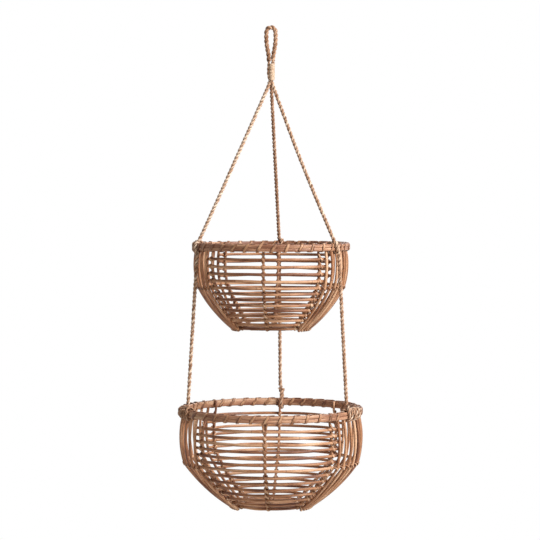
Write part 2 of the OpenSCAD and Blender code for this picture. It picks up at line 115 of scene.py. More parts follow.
def smooth_line(corners: list[Vector], step: float) -> list[Vector]:
    """Return evenly spaced points of a rounded line through a few corners.

    Args:
        corners: The corners, in millimetres.
        step: The spacing wanted.

    Returns:
        The points, from the first corner to the last.
    """
    last = len(corners) - 1
    dense = []
    for i in range(last):
        a, b = corners[i], corners[i + 1]
        span = (b - a).length
        leave = (b - corners[i - 1]).normalized() * span if i else b - a
        arrive = (corners[i + 2] - a).normalized() * span if i < last - 1 else b - a
        for j in range(DENSE_PARTS):
            t = j / DENSE_PARTS
            dense.append(
                a * (2 * t ** 3 - 3 * t ** 2 + 1) + leave * (t ** 3 - 2 * t ** 2 + t)
                + b * (3 * t ** 2 - 2 * t ** 3) + arrive * (t ** 3 - t ** 2)
            )
    dense.append(corners[-1])
    total = sum((b - a).length for a, b in zip(dense, dense[1:]))
    pace = total / max(2, round(total / step))
    out = [dense[0]]
    left = pace
    for a, b in zip(dense, dense[1:]):
        length = (b - a).length
        while length > SHORTEST and left <= length:
            a = a.lerp(b, left / length)
            length -= left
            left = pace
            out.append(a)
        left -= length
    if len(out) > round(total / pace):
        out.pop()
    out.append(dense[-1])
    return out


@dataclass
class Run:
    """One cane, strip or strand: a rounded section carried along a line.

    The points are in millimetres. The normals say which way the section's thickness faces,
    and without them the section is turned as little as possible. The seed moves the grain along
    by so many steps, so that no two runs look alike.
    """

    points: list[Vector]
    half_w: float
    half_t: float
    seed: float = 0.0
    normals: list[Vector] | None = None
    swell: list[float] | None = None
    closed: bool = False
    sides: int = 10
    power: float = 1.0
    grain_step: float = 613.0

    def frames(self) -> list[Matrix]:
        """Work out the section's place, turn and size at each point.

        Returns:
            One matrix for each point.
        """
        count = len(self.points)
        frames = []
        normal = None
        for i, point in enumerate(self.points):
            before = self.points[i - 1] if i or self.closed else point
            after = self.points[(i + 1) % count] if i < count - 1 or self.closed else point
            ahead = (after - before).normalized()
            if self.normals:
                normal = self.normals[i]
            elif normal is None:
                normal = UP if abs(ahead.z) < 0.8 else Vector((1, 0, 0))
            normal = (normal - ahead * normal.dot(ahead)).normalized()
            turn = Matrix((normal.cross(ahead), normal, ahead)).transposed().to_4x4()
            grow = self.swell[i] if self.swell else 1.0
            size = Matrix.Diagonal((self.half_w * grow, self.half_t * grow, 1.0, 1.0))
            frames.append(Matrix.Translation(point) @ turn @ size)
        return frames

    def lengths(self) -> list[float]:
        """Measure how far each point lies along the line.

        Returns:
            The lengths, in millimetres.
        """
        total = 0.0
        out = [0.0]
        for a, b in zip(self.points, self.points[1:]):
            total += (b - a).length
            out.append(total)
        return out

    def sweep(self, mesh: bmesh.types.BMesh) -> None:
        """Fill an empty mesh with the run by extruding a ring from frame to frame.

        Each vertex keeps its lay, which is where it lies along the run, across it and out of
        it, and the run's own tone, both for the material's grain.

        Args:
            mesh: The mesh.
        """
        lay = mesh.verts.layers.float_vector.new("lay")
        tone = mesh.verts.layers.float.new("tone")
        shade = noise.noise(Vector((self.seed * 5.7, 2.3, self.seed * 0.9)))
        frames = self.frames()
        lengths = self.lengths()
        circle = bmesh.ops.create_circle(mesh, cap_ends=False, segments=self.sides, radius=1.0)
        verts = circle["verts"]
        for vert in verts:
            vert.co.x, vert.co.y = squared(math.atan2(vert.co.y, vert.co.x), self.power)
        bmesh.ops.transform(mesh, matrix=frames[0], verts=verts)
        ring = list({edge for vert in verts for edge in vert.link_edges})
        first = ring
        for i, place in enumerate(frames):
            if i:
                grown = bmesh.ops.extrude_edge_only(mesh, edges=ring)["geom"]
                verts = [g for g in grown if isinstance(g, bmesh.types.BMVert)]
                ring = [g for g in grown if isinstance(g, bmesh.types.BMEdge)]
                step = place @ frames[i - 1].inverted()
                bmesh.ops.transform(mesh, matrix=step, verts=verts)
            back = place.inverted()
            for vert in verts:
                local = back @ vert.co
                vert[lay] = Vector((
                    lengths[i] + self.seed * self.grain_step,
                    local.x * self.half_w, local.y * self.half_t,
                ))
                vert[tone] = shade
        if self.closed:
            bmesh.ops.bridge_loops(mesh, edges=first + ring)
        else:
            bmesh.ops.edgeloop_fill(mesh, edges=first)
            bmesh.ops.edgeloop_fill(mesh, edges=ring)
        bmesh.ops.recalc_face_normals(mesh, faces=mesh.faces)


@dataclass
class Piece:
    """One named object made of runs, in place of CAD nodes."""

    name: str
    body: str
    nodes: list[str]
    slot: Slot
    runs: list[Run]

    def make(self, finish: bpy.types.Material) -> bpy.types.Object:
        """Build the mesh, dress it and fix it to its body.

        Args:
            finish: The material.

        Returns:
            The new object.
        """
        data = bpy.data.meshes.new(self.name)
        joined = bmesh.new()
        joined.verts.layers.float_vector.new("lay")
        joined.verts.layers.float.new("tone")
        for run in self.runs:
            part = bmesh.new()
            run.sweep(part)
            part.to_mesh(data)
            part.free()
            joined.from_mesh(data)
        bmesh.ops.scale(joined, vec=(MM, MM, MM), verts=joined.verts)
        for face in joined.faces:
            face.smooth = True
        joined.to_mesh(data)
        joined.free()
        made = bpy.data.objects.new(self.name, data)
        bpy.context.scene.collection.objects.link(made)
        data.materials.append(finish)
        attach(made, self.body)
        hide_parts(*self.nodes)
        return made


def add_node(
    tree: bpy.types.NodeTree, kind: str, settings: dict | None = None, inputs: dict | None = None
) -> bpy.types.Node:
    """Add a shader node with its settings and links.

    Args:
        tree: The node tree.
        kind: The node's type name.
        settings: Its properties.
        inputs: Values or sockets for its inputs, by name or number.

    Returns:
        The new node.
    """
    made = tree.nodes.new(kind)
    for key, value in (settings or {}).items():
        setattr(made, key, value)
    for key, value in (inputs or {}).items():
        if isinstance(value, bpy.types.NodeSocket):
            tree.links.new(value, made.inputs[key])
        else:
            made.inputs[key].default_value = value
    return made


@dataclass(frozen=True)
class PlantFinish:
    """A plant stem or fibre, with its grain drawn out along each run.

    The grain is a noise read in the run's own lay, so that it follows every bend. The patches
    are the slow changes of colour along one stem, and the tone is that of the whole stem. A
    cane has a darker ring at each of its joints. A strip has painted shade along its edges and
    a rope painted shade in the grooves between its strands, for the shade that falls in the
    gaps beside them. The shares of a joint and an edge say how much of the colour they leave.
    """

    name: str
    dark: str
    middle: str
    light: str
    grain_mm: float
    drawn_out: float
    patch_mm: float
    roughness: float
    bump_mm: float
    tone_share: float
    sheen: float = 0.0
    joint_mm: float = 0.0
    # Painted shade: a strip darkens towards both edges, for the shade in the gaps beside it
    edge_shade_mm: tuple[float, float] | None = None
    # Painted shade: a rope's strands darken on their inner side, for the shade in the grooves
    # between them
    groove_shade: str | None = None
    groove_shade_mm: tuple[float, float] = (-0.9, 1.0)
    gloss: float = 0.35
    fine_share: float = 0.5
    patch_across_mm: float = 8.0
    level_span: tuple[float, float] = (0.25, 1.25)
    stops: tuple[float, float, float] = (0.27, 0.5, 0.74)
    joint_half_mm: float = 1.4
    joint_share: float = 0.35
    edge_shade_share: float = 0.15
    bump_strength: float = 0.8

    def stretched(
        self, tree: bpy.types.NodeTree, lay: bpy.types.NodeSocket, along: float, across: float
    ) -> bpy.types.NodeSocket:
        """Read a noise in the run's lay.

        Args:
            tree: The node tree.
            lay: The lay attribute.
            along: The size of its grains along the run, in millimetres.
            across: Their size across it.

        Returns:
            The noise's value.
        """
        scaled = add_node(
            tree, "ShaderNodeVectorMath", {"operation": "MULTIPLY"},
            {0: lay, 1: (1 / along, 1 / across, 1 / across)},
        ).outputs[0]
        return add_node(
            tree, "ShaderNodeTexNoise", {}, {"Vector": scaled, "Scale": 1.0, "Detail": 3.0}
        ).outputs["Fac"]

    def colour(
        self, tree: bpy.types.NodeTree, lay: bpy.types.NodeSocket, fine: bpy.types.NodeSocket
    ) -> bpy.types.NodeSocket:
        """Mix the patches, the stem's tone and the fine grain into one colour.

        Args:
            tree: The node tree.
            lay: The lay attribute.
            fine: The fine grain's value.

        Returns:
            The colour.
        """
        tone = add_node(tree, "ShaderNodeAttribute", {"attribute_name": "tone"}).outputs["Fac"]
        mixed = self.stretched(tree, lay, self.patch_mm, self.patch_across_mm)
        for value, share in ((tone, self.tone_share), (fine, self.fine_share)):
            mixed = add_node(
                tree, "ShaderNodeMath", {"operation": "MULTIPLY_ADD"},
                {0: value, 1: share, 2: mixed},
            ).outputs[0]
        low, high = self.level_span
        level = add_node(
            tree, "ShaderNodeMapRange", {}, {"Value": mixed, "From Min": low, "From Max": high}
        ).outputs["Result"]
        ramp = add_node(tree, "ShaderNodeValToRGB", {}, {"Fac": level})
        elements = ramp.color_ramp.elements
        elements.new(self.stops[1])
        shades = (self.dark, self.middle, self.light)
        for element, place, shade in zip(elements, self.stops, shades):
            element.position = place
            element.color = linear(shade)
        return ramp.outputs["Color"]

    def build(self) -> bpy.types.Material:
        """Build the material's nodes.

        Returns:
            The material.
        """
        made = bpy.data.materials.new(self.name)
        made.use_nodes = True
        tree = made.node_tree
        shader = tree.nodes["Principled BSDF"]
        lay = add_node(tree, "ShaderNodeAttribute", {"attribute_name": "lay"}).outputs["Vector"]
        fine = self.stretched(tree, lay, self.grain_mm * self.drawn_out, self.grain_mm)
        colour = self.colour(tree, lay, fine)
        parts = add_node(tree, "ShaderNodeSeparateXYZ", {}, {0: lay}).outputs
        # Each darker place, a joint's own dark ring or the painted shade at a strip's edges or in a
        # rope's grooves:
        # the measure that finds it, its span in mm, what is left of the colour
        places = []
        if self.joint_mm:
            away = add_node(
                tree, "ShaderNodeMath", {"operation": "PINGPONG"},
                {0: parts["X"], 1: self.joint_mm / 2},
            )
            span = (0.0, self.joint_half_mm)
            places.append((away.outputs[0], span, (self.joint_share, 1.0), self.dark))
        # Painted shade along a strip's edges, for the shade in the gaps beside it
        if self.edge_shade_mm:
            across = add_node(tree, "ShaderNodeMath", {"operation": "ABSOLUTE"}, {0: parts["Y"]})
            places.append((across.outputs[0], self.edge_shade_mm, (1.0, self.edge_shade_share), self.dark))
        # Painted shade in a rope's grooves: each strand darkens on its side towards the rope's
        # middle
        if self.groove_shade:
            places.append((parts["Z"], self.groove_shade_mm, (0.0, 1.0), self.groove_shade))
        for value, (low, high), (first, last), shade in places:
            kept = add_node(
                tree, "ShaderNodeMapRange", {},
                {"Value": value, "From Min": low, "From Max": high, "To Min": first,
                 "To Max": last},
            ).outputs["Result"]
            colour = add_node(
                tree, "ShaderNodeMix", {"data_type": "RGBA"}, {0: kept, 6: linear(shade), 7: colour}
            ).outputs[2]
        bump = add_node(
            tree, "ShaderNodeBump", {},
            {"Height": fine, "Strength": self.bump_strength, "Distance": self.bump_mm * MM},
        )
        tree.links.new(colour, shader.inputs["Base Color"])
        tree.links.new(bump.outputs["Normal"], shader.inputs["Normal"])
        shader.inputs["Roughness"].default_value = self.roughness
        shader.inputs["Specular IOR Level"].default_value = self.gloss
        shader.inputs["Sheen Weight"].default_value = self.sheen
        return made


# Whole rattan cane, stained light brown and thinly varnished: a smooth skin with faint streaks
RATTAN_CANE = PlantFinish(
    "rattan_cane", "#6b3f29", "#a9744f", "#d3a782", 1.1, 16.0, 60.0, 0.45, 0.12, 0.3,
    joint_mm=140.0,
)
# Thinner canes of the same lot for the ribs, a little darker
RATTAN_RIB = PlantFinish(
    "rattan_rib", "#5a3421", "#99664a", "#c0926f", 0.9, 16.0, 60.0, 0.48, 0.12, 0.3,
    joint_mm=110.0,
)
# Thick cane planed flat for the rim, which lays its paler wood open: fine long streaks
PLANED_CANE = PlantFinish(
    "planed_rattan_rim", "#7b4c34", "#b58566", "#dab794", 0.8, 20.0, 70.0, 0.5, 0.1, 0.25,
)
# Outer peel of rattan split into strip: straight fine lines along it, and painted shade along both
# edges for the shade in the gaps beside it
SPLIT_CANE = PlantFinish(
    "split_cane_strip", "#653b27", "#b58561", "#dfbb98", 0.6, 22.0, 22.0, 0.45, 0.1, 0.2,
    edge_shade_mm=(1.7, 2.4),
)
# Two-strand rope of dry plant fibre, matt, with painted shade in the grooves between the strands
FIBRE_ROPE = PlantFinish(
    "plant_fibre_rope", "#8a5d3c", "#bb9070", "#e5cbb0", 0.4, 9.0, 14.0, 0.85, 0.25, 0.3,
    sheen=0.2, groove_shade="#4e2d1b", groove_shade_mm=(-1.3, 1.2),
)
# Pale twine wound tightly round the neck and smoothed by handling
PALE_TWINE = PlantFinish(
    "plant_fibre_twine", "#ad8b6c", "#d2b497", "#ead7c0", 0.35, 12.0, 12.0, 0.75, 0.1, 0.25,
    sheen=0.2,
)


class Palette:
    """The built materials of the whole object."""

    def __init__(self) -> None:
        """Build every material once."""
        self.cane = RATTAN_CANE.build()
        self.rib = RATTAN_RIB.build()
        self.planed = PLANED_CANE.build()
        self.strip = SPLIT_CANE.build()
        self.rope = FIBRE_ROPE.build()
        self.twine = PALE_TWINE.build()


@dataclass
class Wall:
    """The wall's middle line: three arcs that meet smoothly, measured down from the rim."""

    start_r: float
    start_z: float
    flare: float
    lens: tuple[float, float, float]
    turns: tuple[float, float, float]

    @property
    def length(self) -> float:
        """Return the wall's whole length."""
        return sum(self.lens)

    @property
    def waist(self) -> float:
        """Return the place of the waist hoop."""
        return self.lens[0] + self.lens[1] / 2

    def at(self, place: float, set_in: float = 0.0) -> tuple[float, float, float]:
        """Return radius, height and lean at a place along the wall.

        Args:
            place: The distance along the wall below the rim.
            set_in: How far inside the middle line to go.

        Returns:
            The radius and the height in millimetres, and the lean in radians.
        """
        radius, z, lean = self.start_r, self.start_z, math.radians(-self.flare)
        left = place
        for i, (length, turn) in enumerate(zip(self.lens, self.turns)):
            part = left if i == 2 else min(left, length)
            if i and part <= 0:
                break
            bend = math.radians(turn) / length
            end = lean + bend * part
            radius += (math.cos(end) - math.cos(lean)) / bend
            z -= (math.sin(end) - math.sin(lean)) / bend
            lean = end
            left -= part
        return radius - set_in * math.cos(lean), z + set_in * math.sin(lean), lean


@dataclass
class Form:
    """The measurements of one basket, and what its rim, panels, ribs and base share.

    The flare, the turns of the wall's arcs, the ribs' turns and the lean are in degrees. A wave
    is the length of a hand-made error, in degrees round the basket for a horizontal cane and in
    millimetres down the wall for a rod, and a stray is how far it goes. The first of two values
    is for in and out.
    """

    name: str
    body: str
    front: float
    rim_z: float
    rim_r: float
    flare: float
    lens: tuple[float, float, float]
    turns: tuple[float, float, float]
    side_canes: int
    bowl_canes: int
    wraps: int
    forked: Side
    back_lift: float
    back_lean: float
    seed: float
    rim_h: float = 12.4
    outer_t: float = 3.2
    inner_t: float = 3.0
    strip_t: float = 0.7
    gap: float = 0.1
    layer_gap: float = 0.3
    stake_d: float = 5.0
    cane_d: float = 4.8
    rib_d: float = 3.8
    stake_count: int = 13
    side_half: float = 38.5
    panel_half: float = 53.0
    rib_turns: tuple[float, float, float] = (-47.5, 0.0, 47.5)
    first_cane_drop: float = 21.0
    stake_tail: float = -1.0
    base_cane_count: int = 13
    plump: float = 1.08
    cane_step: float = 3.0
    cane_wave: float = 22.0
    cane_stray: tuple[float, float] = (0.5, 1.1)
    swell_pace: float = 2.2
    uneven: float = 0.08
    rod_wave: tuple[float, float] = (30.0, 45.0)
    rod_stray: float = 0.25
    rod_steps: int = 28
    band_power: float = 0.8

    def __post_init__(self) -> None:
        """Work out the rim's radii and the wall's layers."""
        self.hoop_out = self.rim_r - self.strip_t - self.gap
        self.stake_r = self.hoop_out - self.outer_t - self.layer_gap - self.stake_d / 2
        self.inner_in = self.stake_r - self.stake_d / 2 - self.layer_gap - self.inner_t
        self.rim_half = self.rim_h / 2 + self.gap + self.strip_t
        self.stake_pitch = 2 * self.side_half / (self.stake_count - 1)
        self.cane_in = self.stake_d / 2 + self.layer_gap + self.cane_d / 2
        self.rib_in = self.cane_in + self.cane_d / 2 + self.layer_gap + self.rib_d / 2
        collar = self.rim_half + self.layer_gap
        self.first_cane = self.first_cane_drop - collar
        self.wall = Wall(self.stake_r, self.rim_z - collar, self.flare, self.lens, self.turns)

    def piece(self, name: str, node: str, slot: Slot, runs: list[Run]) -> Piece:
        """Return a piece of this basket that takes the place of one node."""
        return Piece(f"{self.name}_{name}", self.body, [f"{self.name}_{node}"], slot, runs)

    def facing(self, side: Side) -> float:
        """Return the direction that the middle of a wall faces."""
        return self.front + side.value

    def stake_azimuths(self, side: Side) -> list[float]:
        """Return the directions of a side wall's stakes."""
        first = self.facing(side) - self.side_half
        return [first + i * self.stake_pitch for i in range(self.stake_count)]

    def cane_places(self, side: Side) -> list[float]:
        """Work out where the horizontal canes of a wall lie, without the waist hoop.

        Args:
            side: The front or back wall.

        Returns:
            The distances down the wall.
        """
        lift = self.back_lift if side == Side.BACK else 0.0
        upper = (self.wall.waist - self.first_cane) / self.side_canes
        lower = (self.wall.length - self.wall.waist) / (self.bowl_canes + 1)
        above = [self.first_cane - lift + i * upper for i in range(self.side_canes)]
        return above + [self.wall.waist - lift + i * lower for i in range(1, self.bowl_canes + 1)]

    def level_cane(self, place: float, start: float, end: float, seed: float) -> Run:
        """Return one horizontal cane inside the stakes, a closed hoop if it goes right round.

        Args:
            place: Its distance down the wall.
            start: The direction of its first end.
            end: The direction of its second end.
            seed: Its own number.

        Returns:
            The cane.
        """
        radius, z, _ = self.wall.at(place, self.cane_in)
        in_out, up_down = self.cane_stray
        closed = end - start >= 360
        steps = max(12, int((end - start) / self.cane_step))
        points = []
        swell = []
        for i in range(steps if closed else steps + 1):
            azimuth = start + (end - start) * i / steps
            turn = azimuth / self.cane_wave
            # A hoop has no error where it closes
            hold = math.sin(math.pi * i / steps) if closed else 1.0
            points.append(polar(
                radius + hold * drift(turn, seed, in_out), azimuth,
                z + hold * drift(turn, seed + 40, up_down),
            ))
            swell.append(self.plump + hold * drift(turn * self.swell_pace, seed + 80, self.uneven))
        return Run(points, self.cane_d / 2, self.cane_d / 2, seed, swell=swell, closed=closed)

    def wall_rod(
        self, azimuth: float, set_in: float, end: float, rise: float, seed: float, sway: float,
        lean: float = 0.0,
    ) -> list[Vector]:
        """Return the points of a rod that stands in the rim and follows the wall down.

        Args:
            azimuth: Its direction.
            set_in: How far inside the stakes' middle line it lies.
            end: Where it ends along the wall.
            rise: How far its top stands above the rim's middle.
            seed: Its own number.
            sway: How far it strays sideways, in millimetres.
            lean: How many degrees it has turned at its top.

        Returns:
            The points from the top down.
        """
        radius, z, _ = self.wall.at(0, set_in)
        top = self.rim_z + rise
        points = [polar(radius, azimuth + lean, height) for height in (top, (top + z) / 2)]
        in_out, sideways = self.rod_wave
        for i in range(self.rod_steps + 1):
            place = end * i / self.rod_steps
            radius, z, _ = self.wall.at(place, set_in)
            # The rim holds the rod straight, and it strays fully from the fourth step on
            turn = math.degrees(drift(place / sideways, seed, sway) / radius) * min(1, i / 4)
            turn += lean * (1 - place / end)
            stray = drift(place / in_out, seed + 9, self.rod_stray)
            points.append(polar(radius + stray, azimuth + turn, z))
        return points

    def rib_lean(self, side: Side, turn: float) -> float:
        """Return how many degrees the top of a rib has turned."""
        return self.back_lean if side == Side.BACK and turn == 0 else 0.0

    def outward(self, azimuth: float, place: float) -> Vector:
        """Return the direction out of the wall."""
        lean = self.wall.at(place)[2]
        return polar(math.cos(lean), azimuth, -math.sin(lean))

    def on_wall(self, azimuth: float, place: float, set_in: float) -> Vector:
        """Return the point of the wall at a direction, a place and a depth."""
        radius, z, _ = self.wall.at(place, set_in)
        return polar(radius, azimuth, z)


@dataclass
class Rim:
    """The rim: two flat outer canes one above the other, an inner one and the strip round all.

    The strip is one closed helix. It crosses under the rim in the gaps between stakes, and it
    leans more on the left of the basket than on the right, as it was pulled by hand. The lean
    is the share of the way to the next crossing that the outer face takes, and each of that
    face's corners takes its own share of the lean. The waver is how far a bent cane strays in
    and out, and up and down.
    """

    form: Form
    palette: Palette
    half_w: float = 2.7
    half_t: float = 0.75
    corner: float = 4.2
    lean: float = 0.34
    lean_change: float = 0.2
    lean_stray: float = 0.08
    corner_lean: float = 0.3
    crossed: tuple[float, float] = (0.64, 0.94)
    corner_gain: float = 0.03
    slip: float = 0.6
    uneven: float = 0.08
    waver: tuple[float, float] = (0.12, 0.22)
    steps: int = 150

    def hoop(self, radius: float, level: float, half_t: float, half_h: float, start: float) -> Run:
        """Return one flat cane of the rim, bent into a hoop.

        Args:
            radius: The radius of its middle line.
            level: Its height above the rim's middle.
            half_t: Half its thickness.
            half_h: Half its height.
            start: The direction of its joint.

        Returns:
            The cane, which is closed.
        """
        in_out, up_down = self.waver
        points = []
        for i in range(self.steps):
            wave = TAU * i / self.steps
            points.append(polar(
                radius + in_out * math.sin(4 * wave + start), start + 360 * i / self.steps,
                self.form.rim_z + level + up_down * math.sin(3 * wave + start),
            ))
        ups = [UP] * self.steps
        seed = self.form.seed + 0.4
        return Run(points, half_t, half_h, seed, ups, closed=True, sides=16, power=0.8)

    def crossing(self, number: int) -> float:
        """Return the direction of one of the strip's crossings under the rim.

        Args:
            number: Which crossing, counted round from +X.

        Returns:
            The direction, in the middle of a gap between stakes where there are any.
        """
        form = self.form
        azimuth = 360 * number / form.wraps
        for side in (Side.LEFT, Side.RIGHT):
            off = (azimuth - form.facing(side) + 180) % 360 - 180
            if abs(off) <= form.side_half + form.stake_pitch / 2:
                gap = round(off / form.stake_pitch - 0.5) + 0.5
                return azimuth + gap * form.stake_pitch - off
        return azimuth

    def stations(self, lean: float) -> list[tuple[float, float, float, float]]:
        """Return one turn of the strip round the rim's section.

        Args:
            lean: The share of the way to the next crossing that the outer face takes.

        Returns:
            For each station its radius, height, share of the way and the angle it faces.
        """
        form = self.form
        c = self.corner
        out_r = form.hoop_out + form.gap + self.half_t - c
        in_r = form.inner_in - form.gap - self.half_t + c
        reach = form.rim_h / 2 + form.gap + self.half_t - c
        bent = self.corner_lean * lean
        top, inside = self.crossed
        # Each corner: where it is, its first angle, its share of the way and what it adds to it
        corners = (
            (out_r, -reach, -90, 0.0, bent), (out_r, reach, 0, lean - bent, bent),
            (in_r, reach, 90, top, self.corner_gain), (in_r, -reach, 180, inside, self.corner_gain),
        )
        bends = []
        for r, z, start, share, gain in corners:
            for j in range(5):
                angle = math.radians(start + 22.5 * j)
                bends.append((
                    r + c * math.cos(angle), z + c * math.sin(angle), share + gain * j / 4, angle
                ))
        bends.append((out_r, -reach - c, 1.0, math.radians(270)))
        out = []
        for i, (a, b) in enumerate(zip(bends, bends[1:])):
            parts = 3 if i % 5 == 4 else 1
            for j in range(parts):
                out.append(tuple(p + (q - p) * j / parts for p, q in zip(a, b)))
        return out

    def strip(self) -> Run:
        """Return the strip that binds the hoops together.

        Returns:
            The strip, which is closed.
        """
        form = self.form
        points = []
        normals = []
        swell = []
        for number in range(form.wraps):
            start = self.crossing(number)
            way = self.crossing(number + 1) - start
            tilt = math.sin(math.radians(start - form.front))
            lean = self.lean - self.lean_change * tilt
            lean += drift(number * 0.7, form.seed, self.lean_stray)
            slip = drift(number * 0.9, form.seed + 4, self.slip)
            for r, z, share, angle in self.stations(lean):
                azimuth = start + share * way + slip * math.sin(math.pi * share)
                points.append(polar(r, azimuth, form.rim_z + z))
                normals.append(polar(math.cos(angle), azimuth, math.sin(angle)))
                swell.append(1 + drift(number + share, form.seed + 7, self.uneven))
        return Run(
            points, self.half_w, self.half_t, form.seed + 5, normals, swell,
            closed=True, sides=12, power=0.7
        )

    def build(self) -> list[bpy.types.Object]:
        """Make the rim's pieces.

        Returns:
            The new objects.
        """
        form = self.form
        half_t = form.outer_t / 2
        quarter = form.rim_h / 4
        outer = [
            self.hoop(form.hoop_out - half_t, side * quarter, half_t, quarter, 70 * side)
            for side in (-1, 1)
        ]
        half_t = form.inner_t / 2
        inner = self.hoop(form.inner_in + half_t, 0, half_t, form.rim_h / 2, 180)
        planed, strip = self.palette.planed, self.palette.strip
        return [
            form.piece("rim_outer_canes", "outer_hoop", Slot.RATTAN, outer).make(planed),
            form.piece("rim_inner_cane", "inner_hoop", Slot.RATTAN, [inner]).make(planed),
            form.piece("rim_strip", "rim_binding", Slot.SPLIT_CANE, [self.strip()]).make(strip),
        ]


@dataclass
class Panels:
    """The walls: level canes in front and behind, upright stakes at the sides, and two hoops.

    A strip winds round each hoop and over the stakes of the side walls.
    """

    form: Form
    palette: Palette
    end_stray: float = 1.2
    stake_sway: float = 1.2
    wrap_half_w: float = 1.8
    wrap_half_t: float = 0.6
    wrap_lift: float = 3.2
    wrap_steps: int = 16
    ring_wrap_up: float = 2.5

    def level_canes(self, side: Side) -> bpy.types.Object:
        """Make the horizontal canes of the front or back wall.

        Args:
            side: The front or back wall.

        Returns:
            The new object.
        """
        form = self.form
        middle = form.facing(side)
        runs = []
        for i, place in enumerate(form.cane_places(side)):
            seed = form.seed + side.value + i
            near, far = (drift(i * 1.7, seed + end, self.end_stray) for end in (0.3, 0.7))
            runs.append(form.level_cane(
                place, middle - form.panel_half + near, middle + form.panel_half + far, seed
            ))
        word = side.word
        piece = form.piece(f"{word}_wall_canes", f"{word}_canes", Slot.RATTAN, runs)
        return piece.make(self.palette.cane)

    def stakes(self, side: Side) -> bpy.types.Object:
        """Make the upright stakes of the left or right wall.

        Args:
            side: The left or right wall.

        Returns:
            The new object.
        """
        form = self.form
        foot = form.wall.length + form.stake_tail
        runs = []
        for i, azimuth in enumerate(form.stake_azimuths(side)):
            seed = form.seed + 200 + side.value + i
            points = form.wall_rod(
                azimuth, 0, foot, form.rim_h / 2 - form.gap, seed, self.stake_sway
            )
            swell = [1 + drift(j / 6, seed, form.uneven) for j in range(len(points))]
            runs.append(Run(points, form.stake_d / 2, form.stake_d / 2, seed, swell=swell))
        word = side.word
        piece = form.piece(f"{word}_wall_stakes", f"{word}_stakes", Slot.RATTAN, runs)
        return piece.make(self.palette.cane)

    def hoop(self, name: str, node: str, place: float, seed: float) -> bpy.types.Object:
        """Make a round hoop of cane inside the wall."""
        run = self.form.level_cane(place, 0, 360, self.form.seed + seed)
        return self.form.piece(name, node, Slot.RATTAN, [run]).make(self.palette.cane)

    def wrap(self, side: Side, place: float) -> Run:
        """Return the strip that winds round a hoop and over each stake of a side.

        Args:
            side: The left or right wall.
            place: The hoop's place on the wall.

        Returns:
            The strip.
        """
        form = self.form
        start = form.stake_azimuths(side)[0] - form.stake_pitch / 2
        outer = form.stake_d / 2 + form.gap + self.wrap_half_t
        inner = form.cane_in + form.cane_d / 2 + form.gap + self.wrap_half_t
        points = []
        normals = []
        for i in range(form.stake_count * self.wrap_steps + 1):
            turn = TAU * i / self.wrap_steps
            away, up = squared(turn, form.band_power)
            azimuth = start + form.stake_pitch * i / self.wrap_steps
            depth = (inner - outer) / 2 + away * (inner + outer) / 2
            points.append(form.on_wall(azimuth, place - up * self.wrap_lift, depth))
            out = form.outward(azimuth, place)
            normals.append(out * -math.cos(turn) + UP * math.sin(turn))
        return Run(
            points, self.wrap_half_w, self.wrap_half_t, form.seed + 700 + place, normals,
            sides=8, power=form.band_power
        )

    def wraps(self, side: Side) -> bpy.types.Object:
        """Make the strips that tie a side's stakes to the waist hoop and to the base ring.

        Args:
            side: The left or right wall.

        Returns:
            The new object.
        """
        wall = self.form.wall
        runs = [self.wrap(side, wall.waist), self.wrap(side, wall.length - self.ring_wrap_up)]
        word = side.word
        piece = self.form.piece(f"{word}_stake_wraps", f"{word}_ties", Slot.SPLIT_CANE, runs)
        return piece.make(self.palette.strip)

    def build(self) -> list[bpy.types.Object]:
        """Make the walls' pieces.

        Returns:
            The new objects.
        """
        wall = self.form.wall
        made = [self.level_canes(side) for side in (Side.FRONT, Side.BACK)]
        for side in (Side.LEFT, Side.RIGHT):
            made += [self.stakes(side), self.wraps(side)]
        made.append(self.hoop("waist_cane", "waist_hoop", wall.waist, 300))
        made.append(self.hoop("base_cane_ring", "base_ring", wall.length, 301))
        return made


